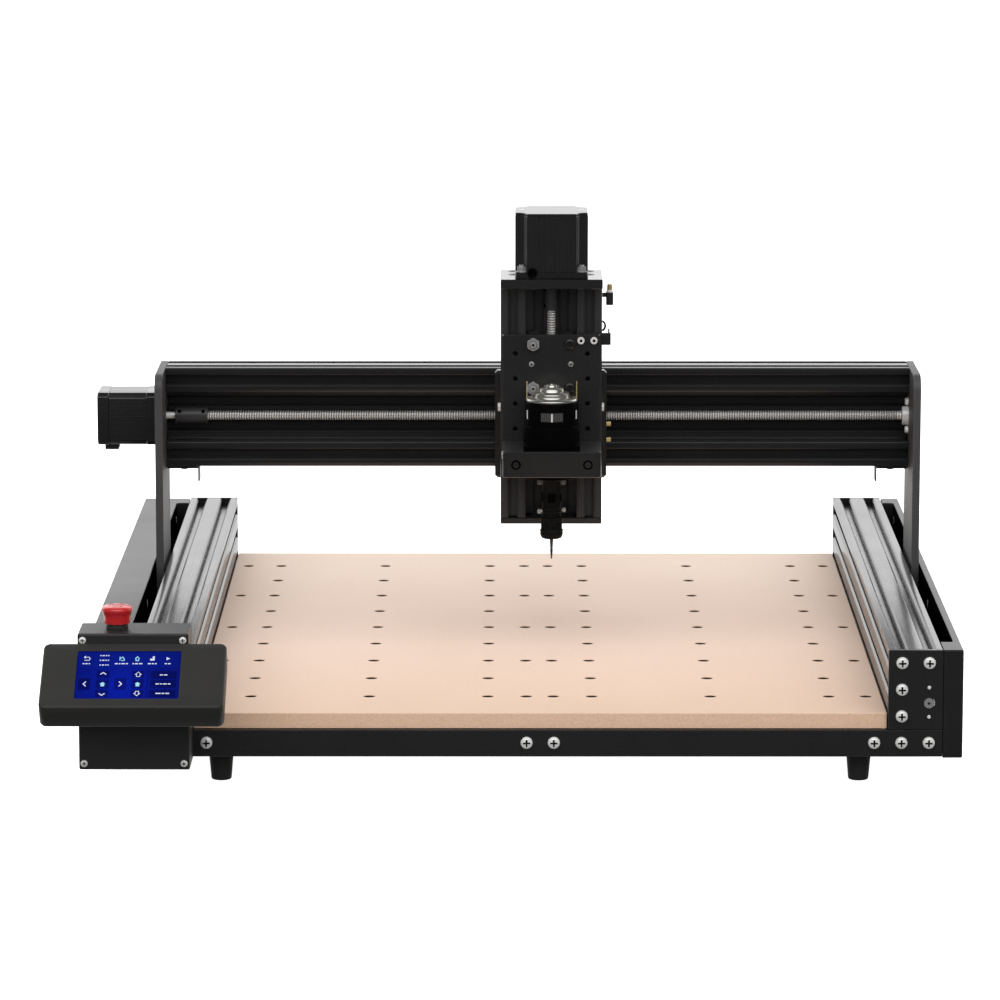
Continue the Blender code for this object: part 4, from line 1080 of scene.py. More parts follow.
def make_small_motors():
    """The two motors at the rear and the one at the beam's end."""
    for side in ("left", "right"):
        low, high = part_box("y_motor_" + side)
        middle = (low + high) / 2
        place = facing("+y", (middle.x, low.y, middle.z))
        socket = (Vector((middle.x - 0.008, high.y - 0.016, low.z)), Vector((middle.x + 0.008, high.y - 0.006,
            low.z + 0.003)))
        stepper("y_motor_" + side, "y_motor_" + side, "frame", place, high.x - low.x, high.y - low.y, "y",
            socket)
        wires = Shape()
        for k in range(4):
            start = Vector((middle.x - 0.0045 + k * 0.003, high.y - 0.011, low.z + 0.0006))
            wires.rings([(0.0007, 0), (0.0007, 0.0016), (0, 0.0016)], facing("-z", start), 8)
        wires.piece(f"y_motor_{side}_pins", "frame", STEEL, "steel")
    low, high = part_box("x_motor")
    screw = centre("x_leadscrew")
    place = facing("-x", (high.x, screw.y, screw.z))
    size = high.y - low.y
    socket = (Vector((low.x + 0.005, screw.y - 0.008, low.z)), Vector((low.x + 0.016, screw.y + 0.008,
        screw.z - size / 2 + 0.002)))
    stepper("x_motor", "x_motor", "gantry", place, size, high.x - low.x, "x", socket)


def scalloped(half, radius, steps=8):
    """A square outline whose corners are cut away by round notches with softened edges."""
    soft = 0.0020
    points = []
    for quarter in range(4):
        turn = Matrix.Rotation(quarter * TURN / 4, 2)
        lean = 1.25 * soft / radius
        arc = [(half, half - radius, soft)]
        for step in range(steps + 1):
            angle = 1.5 * math.pi - lean - (0.5 * math.pi - 2 * lean) * step / steps
            arc.append((half + radius * math.cos(angle), half + radius * math.sin(angle), 0.0))
        arc.append((half - radius, half, soft))
        for x, y, round_off in arc:
            spot = turn @ Vector((x, y))
            points.append((spot.x, spot.y, round_off))
    return fillet(points, 4)


def make_z_motor():
    """A flange and an end cap round a scalloped body, bolted to the top plate."""
    low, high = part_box("z_motor")
    middle = (low + high) / 2
    size, tall = high.x - low.x, high.z - low.z
    place = facing("+z", (middle.x, middle.y, low.z))
    half = size / 2
    bolts = [(sx * 0.02357, sy * 0.02357) for sx in (-1, 1) for sy in (-1, 1)]
    flange = Shape()
    flange.prism([rectangle(size, size, 0.0045, 5)] + [circle(x, y, 0.0026, 20, True) for x, y in bolts], 0.0,
        0.0050, place, 0.0004)
    flange.prism([inset(scalloped(half, 0.0090), 0.0003)], tall - 0.0022, tall - 0.0002, place, 0.0005)
    flange.piece("z_motor_ends", "x_carriage", MOTOR_CAP, "motor_black", "z_motor")
    body = Shape().prism([scalloped(half, 0.0090)], 0.0048, tall - 0.0020, place, 0.0005)
    body.piece("z_motor_body", "x_carriage", STACK["z"], "motor_black")
    screws = Shape()
    for x, y in bolts:
        spot = shifted(place, x, y, 0.0050)
        washer(screws, spot, 0.0042)
        nut_and_stud(screws, shifted(place, x, y, 0.0055), 0.0034, 0.0036, 0.0020, 0.0014)
    screws.piece("z_motor_bolts", "x_carriage", [PLATED, RECESS_SHADE], "steel")
    ties = Shape()
    for x, y in ((-0.0235, 0.0), (0.0235, 0.0)):
        ties.rings([(0.0021, tall - 0.0003), (0.0020, tall), (hexagon(0.0010), tall),
            (hexagon(0.0010), tall - 0.0010), (0, tall - 0.0010)], shifted(place, x, y, 0), 24)
    ties.piece("z_motor_tie_screws", "x_carriage", STEEL, "steel")
    grommet = Shape().rings(mm((0, 0), (4, 0), (4, 2.2), (3.6, 3), (2.4, 3), (2.2, 2), (0, 2)),
        facing("-y", (middle.x - 0.0152, low.y + 0.0005, low.z + 0.0048)), 24)
    grommet.piece("z_motor_grommet", "x_carriage", DEEP_BLACK, "rubber")


# ---------------------------------------------------------------- lead screws and couplers
PITCH, LEAD = 0.002, 0.004


def clamp_coupler(name, body, node, place, radius, half, clamp_turn, bore=0.0041):
    """A rigid shaft coupler: chamfered ends, and two clamp screws near each end, on opposite sides."""
    shape = Shape()
    shape.rings([(bore, -half), (radius - 0.0005, -half), (radius, -half + 0.0005), (radius, half - 0.0005),
        (radius - 0.0005, half), (bore, half)], place, 40, closed=True)
    shape.piece(name + "_body", body, COUPLER, "black_anodised", node)
    screws = Shape()
    for along in (-1, 1):
        for turn in (clamp_turn, clamp_turn + math.pi):
            spot = shifted(place, 0, 0, along * (half - 0.0036)) @ Matrix.Rotation(turn, 4, "Z")
            spot = spot @ basis((radius - 0.0010, 0, 0), (0, 1, 0), (0, 0, 1))
            screws.rings([(0.0016, 0.0004), (0.0016, 0.0011), (0, 0.0011)], spot, 20)
    screws.piece(name + "_screws", body, FLAT_BLACK, "nut_black")


def beam_coupler(place, radius, low, high, bore=0.0033):
    """A flexible coupler: solid ends with a helical cut between them."""
    chamfer, solid_end, cut_pitch, cut_depth, cut_share, rows = 0.0005, 0.006, 0.0024, 0.0018, 0.28, 60

    def size(height):
        def at_angle(angle):
            inside = low + solid_end < height < high - solid_end
            phase = ((height - cut_pitch * angle / TURN) / cut_pitch) % 1
            return radius - (cut_depth if inside and phase < cut_share else 0.0)
        return at_angle
    heights = [low + chamfer + (high - low - 2 * chamfer) * k / rows for k in range(rows + 1)]
    levels = [(bore, low), (radius - chamfer, low)] + [(size(height), height) for height in heights]
    return Shape().rings(levels + [(radius - chamfer, high), (bore, high)], place, 32, closed=True)


def make_y_screws():
    """Threaded rods with a turned front end, and their flexible couplers."""
    for side in ("left", "right"):
        node = "y_leadscrew_" + side
        low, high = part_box(node)
        axis = centre(node)
        front = low.y
        place = basis((axis.x, front, axis.z), (0, 0, 1), (1, 0, 0))
        end, motor = high.y - front, at(0, 287.0, 0).y - front
        shape = Shape()
        shape.rings(mm((3.5, 0), (3.9, 0.4), (3.9, 8), (3.6, 8.4), (3.6, 9), (0, 9)), place, 28)
        shape.rings([(hexagon(0.0009), 0), (hexagon(0.0009), 0.0012), (0, 0.0012)], place, 12)
        shape.piece(node + "_end", "y_screw_" + side, SHAFT_END, "steel", node)
        rod = Shape().thread(0.0040, 0.0007, PITCH, LEAD, 0.0085, motor, place)
        rod.rings([(0, motor), (0.0031, motor), (0.0031, end), (0, end)], place, 20)
        rod.piece(node + "_thread", "y_screw_" + side, THREAD["y"], "steel")
        coupler = beam_coupler(place, 0.0070, motor, motor + 0.025)
        coupler.piece(node + "_coupler", "y_screw_" + side, STEEL, "steel")


def make_x_screw():
    """A threaded rod between its coupler and its bearing, and the motor's shaft."""
    low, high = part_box("x_leadscrew")
    axis, joint = centre("x_leadscrew"), centre("x_coupler")
    place = basis((low.x, axis.y, axis.z), (0, 1, 0), (0, 0, 1))
    shaft_end, start, end = joint.x - 0.0118 - low.x, joint.x + 0.0118 - low.x, high.x - low.x
    shape = Shape().thread(0.0039, 0.0016, PITCH, LEAD, start, end - 0.012, place)
    shape.rings([(0, start - 0.012), (0.0037, start - 0.012), (0.0037, start), (0, start)], place, 20)
    shape.rings([(0, end - 0.0122), (0.0036, end - 0.0122), (0.0036, end - 0.0004), (0.0032, end), (0, end)],
        place, 20)
    shape.piece("x_leadscrew_thread", "x_screw", THREAD["x"], "steel", "x_leadscrew")
    shaft = Shape().rings([(0, 0.0), (0.0028, 0.0), (0.0028, shaft_end), (0, shaft_end)], place, 20)
    shaft.piece("x_motor_shaft", "x_screw", STEEL, "steel")
    clamp_coupler("x_coupler", "x_screw", "x_coupler", basis(joint, (0, 1, 0), (0, 0, 1)), 0.0064, 0.01305,
        math.pi - 0.66)


def make_z_screw():
    """A threaded rod between two plain ends, and its coupler."""
    low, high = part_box("z_leadscrew")
    joint = centre("z_coupler")
    place = facing("+z", (joint.x, joint.y, low.z))
    joint_low, joint_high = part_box("z_coupler")
    radius, half = (joint_high.x - joint_low.x) / 2, (joint_high.z - joint_low.z) / 2
    top = joint.z - half - low.z
    shape = Shape().thread(0.0034, 0.0006, PITCH, LEAD, 0.004, top + 0.004, place)
    shape.rings(mm((0, 0), (3.2, 0), (3.6, 0.4), (3.6, 4.2), (0, 4.2)), place, 20)
    shape.rings([(0, top + 0.003), (0.0031, top + 0.003), (0.0031, high.z - low.z), (0, high.z - low.z)],
        place, 20)
    shape.piece("z_leadscrew_thread", "z_screw", THREAD["z"], "steel", "z_leadscrew")
    clamp_coupler("z_coupler", "z_screw", "z_coupler", facing("+z", joint), radius, half, 0.35)


# ---------------------------------------------------------------- gantry
def make_gantry_plates():
    """Side plates with round top corners at the front, beam screws, wheel bolts and the wheels' posts."""
    beam_low, beam_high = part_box("x_beam")
    screw = centre("x_leadscrew")
    nut = centre("y_nut_left")
    wheel_y, wheel_z = 0.028, 0.01435
    for side, sign in (("left", -1), ("right", 1)):
        node = "gantry_plate_" + side
        low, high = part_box(node)
        half = (high.x - low.x) / 2
        matrix = basis(((low.x + high.x) / 2, 0, 0), (0, 1, 0), (0, 0, 1))
        outline = fillet([(low.y, low.z, 0.0015), (high.y, low.z, 0.0015), (high.y, high.z, 0.0020),
            (low.y, high.z, 0.012)], 10)
        Shape().prism([outline, circle(screw.y, screw.z, 0.0046, 28, True)], -half, half, matrix,
            0.0004).piece(node + "_cut", "gantry", GANTRY, "black_anodised", node)
        outside, inside = ("+x", "-x") if sign > 0 else ("-x", "+x")
        outer, face = (high.x, low.x) if sign > 0 else (low.x, high.x)
        flush, proud = Shape(), Shape()
        front, top = beam_low.y + CELL / 2, high.z - CELL / 2
        spots = [(front, top), (front, beam_low.z + CELL / 2)]
        spots += [(beam_high.y - CELL / 2, top - k * CELL) for k in range(4)]
        for y, z in spots:
            if not (sign < 0 and abs(y - screw.y) < 0.028 and abs(z - screw.z) < 0.028):
                button_head(proud, facing(outside, (outer, y, z)), 0.0046, 0.0024)
        for y in (nut.y - wheel_y, nut.y + wheel_y):
            for z in (nut.z - wheel_z, nut.z + wheel_z):
                spot = facing(outside, (outer - sign * 0.0002, y, z))
                flush.rings([(0.0052, 0), (0.0050, 0.0006), (hexagon(0.0020), 0.0006),
                    (hexagon(0.0020), -0.0012), (0, -0.0014)], spot, 24)
        proud.piece(f"gantry_beam_screws_{side}", "gantry", DARK, "nut_black")
        flush.piece(f"gantry_wheel_bolts_{side}", "gantry", BLACK_STEEL, "nut_black")
        track = centre("y_leadscrew_" + side).x
        posts = Shape()
        for row, y in (("front", nut.y - wheel_y), ("rear", nut.y + wheel_y)):
            for level, z in (("lower", nut.z - wheel_z), ("upper", nut.z + wheel_z)):
                reach = abs(face - track)
                wheel_post(posts, facing(inside, (face, y, z)), reach - 0.0001, -0.0002, 0.0038, 0.0069,
                    0.0073)
                y_wheel(f"y_wheel_{row}_{level}_{side}", Vector((track, y, z)))
        posts.piece("gantry_wheel_posts_" + side, "gantry", STEEL, "steel")


def make_beam_fittings():
    """Thin brackets under both ends of the beam, and the screw's end bearing on the right plate."""
    beam_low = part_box("x_beam")[0]
    metal, heads = Shape(), Shape()
    for sign in (-1, 1):
        wall = BED.x + sign * 0.2976
        edge = BED.x + sign * 0.2732
        y0, y1 = beam_low.y + 0.006, beam_low.y + 0.031
        low_x, high_x = sorted((wall, edge))
        metal.block(Vector((low_x, y0, beam_low.z - 0.0028)), Vector((high_x, y1, beam_low.z - 0.0002)),
            0.0003)
        lip_low, lip_high = sorted((edge, edge - sign * 0.0012))
        metal.block(Vector((lip_low, y0 + 0.002, beam_low.z - 0.0138)),
            Vector((lip_high, y1 - 0.006, beam_low.z - 0.0020)), 0.0003)
        button_head(heads, facing("-z", (BED.x + sign * 0.2845, y0 + 0.009, beam_low.z - 0.0028)), 0.0036,
            0.0018)
    metal.piece("beam_brackets", "gantry", BLACK_STEEL, "black_anodised")
    heads.piece("beam_bracket_screws", "gantry", DARK, "nut_black")
    plate_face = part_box("gantry_plate_right")[0].x
    screw = centre("x_leadscrew")
    flange, bolts = Shape(), Shape()
    place = facing("-x", (plate_face, screw.y, screw.z))
    flange.rings(mm((4.9, 0), (7.6, 0), (7.6, 4.6), (7.2, 5), (4.9, 5)), place, 32, closed=True)
    flange.piece("x_end_bearing", "gantry", STEEL, "steel")
    for z in (-0.0115, 0.0115):
        spot = facing("-x", (plate_face, screw.y, screw.z + z))
        pan_head(bolts, spot, 0.0032, 0.0028)
    bolts.piece("x_end_bearing_screws", "gantry", SILVER, "steel")


# ---------------------------------------------------------------- X carriage and Z axis
def make_x_carriage_fittings():
    """Side screws, grease screws and wheel bolts."""
    low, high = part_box("x_carriage_plate")
    side_heads, brass = Shape(), Shape()
    face_y = low.y + 0.006
    rail_low, rail_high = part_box("z_rail")
    for direction, x in (("-x", rail_low.x), ("+x", rail_high.x)):
        cap_head(side_heads, facing(direction, (x, rail_high.y - 0.010, 0.2300)), 0.0034, 0.0022)
    side_heads.piece("x_carriage_side_screws", "x_carriage", SILVER, "steel")
    for z in (0.2140, 0.2013):
        brass.rings([(0.0019, 0), (0.0019, 0.0032), (0.0015, 0.0036), (hexagon(0.0010), 0.0036),
            (hexagon(0.0010), 0.0020), (0, 0.0020)], facing("+x", (high.x, face_y, z)), 20)
    brass.piece("x_carriage_grease_screws", "x_carriage", BRASS, "steel")
    bolts = Shape()
    for side in ("left", "right"):
        for level in ("lower", "upper"):
            wheel = centre(f"x_wheel_{level}_{side}")
            washer(bolts, facing("+y", (wheel.x, wheel.y + 0.0050, wheel.z)), 0.0042, 0.0026, 0.0005)
            cap_head(bolts, facing("+y", (wheel.x, wheel.y + 0.0072, wheel.z)), 0.0038, 0.0010)
    bolts.piece("x_wheel_bolts", "x_carriage", SILVER, "steel")


def make_wheels():
    """The wheels of both carriages."""
    for axis in "xz":
        for level in ("lower", "upper"):
            for side in ("left", "right"):
                name = f"{axis}_wheel_{level}_{side}"
                v_wheel(name, name, centre(name), name)


Z_AXIS_X = 10.5


def make_z_frame_fittings():
    """Screws of both end plates, the limit switch and a cable clip."""
    top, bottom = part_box("z_top_plate")[1].z * 1000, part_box("z_bottom_plate")[0].z * 1000
    buttons, under, clip, switch, brass, collar = (Shape() for _ in range(6))
    rail = centre("z_rail")
    for x in (-30.0, 30.0):
        for y in (1.0, 21.0):
            buttons.rings([(0.0042, 0), (0.0042, 0.0001), (0.0036, 0.0003), (hexagon(0.0018), 0.0003),
                (hexagon(0.0018), 0.00005), (0, 0.00005)], facing("+z", at(Z_AXIS_X + x, y, top)), 24)
    for x, y in ((-30.0, 21.0), (-10.0, 21.0), (10.0, 21.0), (30.0, 21.0), (-30.0, 1.0), (30.0, 1.0)):
        button_head(under, facing("-z", at(Z_AXIS_X + x, y, bottom)), 0.0040, 0.0005)
    buttons.piece("z_top_plate_screws", "x_carriage", BLACK_STEEL, "nut_black")
    under.piece("z_bottom_plate_screws", "x_carriage", DARK, "nut_black")
    race = Shape()
    place = facing("-z", (rail.x, at(0, 1.0, 0).y, bottom / 1000))
    ball_bearing(race, shifted(place, 0, 0, -0.0016), 0.0078, 0.0048, 0.0015)
    race.piece("z_end_bearing", "x_carriage", STEEL, "steel")

    # the limit switch: a threaded plunger body in an arm, with a pale collar and a brass tip
    low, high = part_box("z_limit_switch")
    axis_x, axis_y = high.x - 0.00285, (low.y + high.y) / 2
    base = facing("+z", (axis_x, axis_y, low.z))
    switch.prism([rectangle(0.0057, 0.0070, 0.0009, 3)], 0.0, 0.0100, base, 0.0003)
    switch.block(Vector((low.x + 0.0001, low.y + 0.0018, low.z + 0.0062)),
        Vector((axis_x - 0.0018, high.y - 0.0018, low.z + 0.0096)), 0.0005)
    switch.piece("z_switch_body", "x_carriage", SOFT_BLACK, "black_plastic", "z_limit_switch")
    collar.rings(mm((0, 10), (2.7, 10), (2.7, 11), (2.3, 12), (0, 12)), base, 28)
    collar.piece("z_switch_collar", "x_carriage", NYLON, "black_plastic")
    brass.rings(mm((0, 11.2), (2.1, 11.2), (2.1, 15.8), (1.6, 16.5), (0, 16.6)), base, 24)
    brass.piece("z_switch_plunger", "x_carriage", BRASS, "steel")

    # a small round cable clip on the side of the rail
    ring_x, ring_y, ring_z = 50.8, 21.0, 295.2
    path = []
    for step in range(25):
        angle = -0.5 * math.pi + math.pi * step / 24
        path.append(at(ring_x + 2.6 * math.cos(angle), ring_y, ring_z + 3.6 * math.sin(angle)))
    path = [at(ring_x - 0.5, ring_y, ring_z - 3.6)] + path + [at(ring_x - 0.5, ring_y, ring_z + 3.6)]
    clip.sweep(path, 0.0009)
    clip.piece("z_cable_clip", "x_carriage", BLACK_STEEL, "black_anodised")


# ---------------------------------------------------------------- Z carriage and spindle
def make_z_carriage():
    """The front plate with its holes, screws, nuts and wheel posts."""
    low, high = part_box("z_carriage_plate")
    middle = (low + high) / 2
    front, back = low.y, at(0, -15.0, 0).y
    thick = back - front
    wheels = [centre(f"z_wheel_{level}_{side}") for level in ("lower", "upper") for side in ("left", "right")]
    matrix = facing("-y", (middle.x, back, 0))
    loops = [fillet([(-0.0385, low.z, 0.0012), (0.0385, low.z, 0.0012), (0.0385, high.z, 0.0012),
        (-0.0385, high.z, 0.0012)], 3)]
    for row in range(4):
        for x in (-0.0283, 0.0283):
            loops.append(circle(x, 0.2196 + row * 0.0199, 0.0019, 20, True))
    plate = Shape().prism(loops, 0.0, thick, matrix, 0.0005)
    plate.piece("z_carriage_plate_cut", "z_carriage", PLATE, "black_anodised", "z_carriage_plate")
    nuts, heads, posts = Shape(), Shape(), Shape()
    for wheel in wheels:
        spot = facing("-y", (wheel.x, front, wheel.z))
        if wheel.x < middle.x:
            washer(nuts, spot, 0.0046, 0.0026, 0.0005)
            nut_and_stud(nuts, shifted(spot, 0, 0, 0.0005), 0.0046, 0.0038)
        else:
            button_head(heads, spot, 0.0046, 0.0022)
        reach = wheel.y - back
        wheel_post(posts, facing("+y", (wheel.x, back, wheel.z)), reach, 0.0, 0.0037, 0.0070, 0.0073)
    nuts.piece("z_carriage_nuts", "z_carriage", [PLATED, RECESS_SHADE], "steel")
    heads.piece("z_carriage_bolts", "z_carriage", DARK, "nut_black")
    posts.piece("z_wheel_posts", "z_carriage", STEEL, "steel")
    small, pale, fixings = Shape(), Shape(), Shape()
    for x in (-0.0156, 0.0151):
        pan_head(pale, facing("-y", (middle.x + x, front, 0.2710)), 0.0023, 0.0014)
    for x in (0.0231, 0.0333):
        cap_head(small, facing("-y", (middle.x + x, front, 0.2898)), 0.0028, 0.0020, 0.42)
    small.piece("z_carriage_small_screws", "z_carriage", SILVER, "steel")
    pale.piece("z_carriage_nut_screws", "z_carriage", [PLATED, RECESS_SHADE], "steel")
    trigger_low, trigger_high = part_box("switch_trigger")
    pin = facing("+z", (trigger_high.x - 0.0016, (trigger_low.y + trigger_high.y) / 2, trigger_high.z))
    fixings.rings(mm((0, 0), (0.7, 0), (0.7, 3), (0.4, 3.4), (0, 3.4)), pin, 12)
    fixings.piece("trigger_pin", "z_carriage", DARK_STEEL, "steel")


def make_clamp():
    """The block under the motor, with its nose bore, two fixing screws in front and a clamping screw at each
    side.
    """
    low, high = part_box("spindle_clamp")
    spindle = centre("spindle_motor")
    middle = facing("+z", (spindle.x, spindle.y, (low.z + high.z) / 2))
    half = (high.z - low.z) / 2
    outline = fillet([(low.x - spindle.x, low.y - spindle.y, 0.004), (high.x - spindle.x, low.y - spindle.y,
        0.004), (high.x - spindle.x, high.y - spindle.y, 0.0010), (low.x - spindle.x, high.y - spindle.y,
        0.0010)], 5)
    block = Shape().prism([outline, circle(0, 0, 0.0126, 48, True)], -half, half, middle, 0.0007)
    block.piece("spindle_clamp_block", "z_carriage", PLATE, "black_anodised", "spindle_clamp")
    screws, bolts, counterbore_shades = Shape(), Shape(), Shape()
    for x in (-0.028, 0.028):
        spot = facing("-y", (spindle.x + x, low.y, 0.2000))
        # a flat black ring round each front screw: painted shade of its counterbore
        counterbore_shades.rings(mm((3.8, -0.2), (3.8, 0.06), (2.3, 0.06), (2.3, -0.2)), spot, 32, closed=True)
        cap_head(screws, spot, 0.0023, 0.0004, 0.55)
    screws.piece("spindle_clamp_screws", "z_carriage", DARK, "nut_black")
    counterbore_shades.piece("spindle_clamp_counterbore_shades", "z_carriage", FLAT_BLACK, "nut_black")
    # a flat black sheet on the clamp's top: a painted reflection of the can in the glossy top
    can_reflection_sheet = Shape().block(Vector((spindle.x - 0.0220, low.y + 0.0007, high.z + 0.00002)),
        Vector((spindle.x + 0.0220, high.y - 0.0012, high.z + 0.00028)), 0.00006)
    can_reflection_sheet.piece("spindle_clamp_painted_reflection", "z_carriage", FLAT_BLACK, "rubber")
    for sign in (-1, 1):
        x = high.x if sign > 0 else low.x
        cap_head(bolts, facing("+x" if sign > 0 else "-x", (x, spindle.y + 0.0185, 0.2000)), 0.0032, 0.0006)
    bolts.piece("spindle_clamp_side_screws", "z_carriage", SILVER, "steel")


CLAMP_CLEARANCE = 0.0003


def spindle_place():
    """A matrix on the spindle's axis, at the floor."""
    axis = centre("spindle_motor")
    return facing("+z", (axis.x, axis.y, 0))


def make_spindle_can():
    """The motor's can, and its bright end cap with rivets and two terminals."""
    axis = centre("spindle_motor")
    place = spindle_place()
    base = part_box("spindle_clamp")[1].z + CLAMP_CLEARANCE
    can = Shape().rings([(0.0122, base), (0.0218, base), (0.0220, base + 0.0003), (0.0220, 0.2268),
        (0.0218, 0.2273), (0.02105, 0.2276), (0.02100, 0.2279), (0.02100, 0.2454), (0.0207, 0.2462),
        (0.0200, 0.2465), (0, 0.2465)], place, 72)
    can.piece("spindle_can", "z_carriage", DEEP_BLACK, "motor_black", "spindle_motor", 28)
    cap = Shape().rings(mm((20.2, 246.4), (20.3, 246.9), (19.9, 248.1), (18.7, 248.7), (14.8, 249.1),
        (14.3, 249.9), (14.1, 251.5), (13.8, 252.4), (13, 253), (10.1, 253.3), (9.7, 253.8), (9.5, 255.6),
        (9.1, 256.2), (8.3, 256.6), (4.8, 256.9), (4.5, 257.2), (4.3, 258.5), (3.8, 259), (1.6, 259),
        (1.4, 258.6), (0, 258.6)), place, 72)
    cap.piece("spindle_end_cap", "z_carriage", NICKEL, "steel", sharp=50)
    rivets = Shape()
    for k in range(4):
        spot = shifted(turned(place, k * TURN / 4 + TURN / 8), 0.0070, 0, 0.2566)
        rivets.rings(mm((1.1, 0), (1, 0.8), (0.6, 1.1), (0, 1.1)), spot, 12)
    for k in range(6):
        spot = shifted(turned(place, k * TURN / 6), 0.0178, 0, 0.2487)
        rivets.rings(mm((1.1, 0), (1.1, 0.6), (0.7, 0.9), (0, 0.9)), spot, 12)
    rivets.piece("spindle_rivets", "z_carriage", NICKEL, "steel")
    tags = Shape()
    for sign in (-1, 1):
        x = axis.x + sign * 0.0190
        inner, outer = sorted((x, x + sign * 0.0008))
        tags.block(Vector((inner, axis.y - 0.0024, 0.2455)), Vector((outer, axis.y + 0.0024, 0.2612)), 0.0002)
    tags.piece("spindle_terminals", "z_carriage", BRASS, "steel")


def make_spindle_vent():
    """A dark window round the front of the can with slats, and painted highlights in steel: a strip down the
    window's middle and a bar at each side of the can.
    """
    place = spindle_place()
    slats, window, glints = Shape(), Shape(), Shape()
    radius = 0.02112
    window_low, window_high = 0.2323, 0.2395

    def arc_patch(shape, first, last, r, low_z, high_z, steps):
        rows = []
        for step in range(steps + 1):
            angle = first + (last - first) * step / steps
            for z in (low_z, high_z):
                rows.append(len(shape.points))
                shape.points.append(place @ Vector((r * math.sin(angle), -r * math.cos(angle), z)))
        for i in range(0, 2 * steps, 2):
            shape.face([rows[i], rows[i + 2], rows[i + 3], rows[i + 1]])
    arc_patch(window, -0.425, 0.425, radius, window_low, window_high, 16)
    for k in range(-5, 6):
        arc_patch(slats, 0.075 * k - 0.018, 0.075 * k + 0.018, radius + 0.00025, window_low + 0.0004,
            window_high - 0.0004, 2)
    # steel strips that paint highlights: one down the middle of the window and one at each side of the can
    arc_patch(glints, -0.03, 0.03, radius + 0.0004, window_low + 0.0002, window_high - 0.0006, 2)
    for sign in (-1, 1):
        arc_patch(glints, sign * 1.13 - 0.05, sign * 1.13 + 0.05, radius, 0.2332, 0.2400, 2)
    window.piece("spindle_vent", "z_carriage", SOFT_BLACK, "motor_black")
    slats.piece("spindle_vent_slats", "z_carriage", DARK_STEEL, "steel")
    glints.piece("spindle_vent_painted_glints", "z_carriage", STEEL, "steel")


def make_spindle_nose():
    """Below the clamp: a wide flange, a stepped barrel with ports, and two small lock screws."""
    place = spindle_place()
    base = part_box("spindle_clamp")[1].z + CLAMP_CLEARANCE
    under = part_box("spindle_clamp")[0].z - CLAMP_CLEARANCE
    flange = Shape().rings([(0.0121, under), (0.0197, under), (0.0200, under - 0.0003),
        (0.0200, under - 0.0032), (0.0196, under - 0.0036), (0.0108, under - 0.0036)], place, 56, closed=True)
    flange.piece("spindle_flange", "z_carriage", DEEP_BLACK, "motor_black")
    nose = Shape().rings([(0.0122, base + 0.0001), (0.0122, under - 0.0010), (0.0106, under - 0.0012),
        (0.0106, under - 0.0028), (0.0104, under - 0.0030), (0.0104, under - 0.0050),
        (0.0100, under - 0.0055), (0.0079, under - 0.0060), (0.0077, under - 0.0064), (0.0077, 0.1612),
        (0.0080, 0.1609), (0.0080, 0.1583), (0.0077, 0.1580), (0.0077, 0.1546), (0.0074, 0.1542),
        (0, 0.1542)], place, 56)
    nose.piece("spindle_nose", "z_carriage", NOSE_BLACK, "motor_black")
    port = Shape()
    for side in range(4):
        spot = turned(place, side * TURN / 4) @ basis((0.0073, 0, 0.1700), (0, 1, 0), (0, 0, 1))
        port.prism([rectangle(0.0062, 0.0074, 0.0006, 2)], 0.0, 0.00046, spot, 0.0001)
    port.piece("spindle_nose_ports", "z_carriage", FLAT_BLACK, "motor_black")
    bolts, locks = Shape(), Shape()
    for k in range(4):
        angle = TURN / 8 + k * TURN / 4
        spot = turned(place, angle) @ facing("-z", (0.0128, 0, under - 0.0028))
        cap_head(bolts, spot, 0.0021, 0.0054)
    bolts.piece("spindle_flange_screws", "z_carriage", [DARK_STEEL, RECESS_SHADE], "steel")
    for k in range(2):
        spot = turned(place, k * TURN / 2 + 0.35) @ basis((0.0074, 0, 0.1590), (0, 1, 0), (0, 0, 1))
        locks.rings([(0.0012, 0), (0.0012, 0.0016), (0.0020, 0.0018), (0.0020, 0.0034), (0.0016, 0.0039),
            (hexagon(0.0008), 0.0039), (hexagon(0.0008), 0.0030), (0, 0.0029)], spot, 20, deep=(6,))
    locks.piece("spindle_lock_screws", "z_carriage", [PLATED, RECESS_SHADE], "steel")


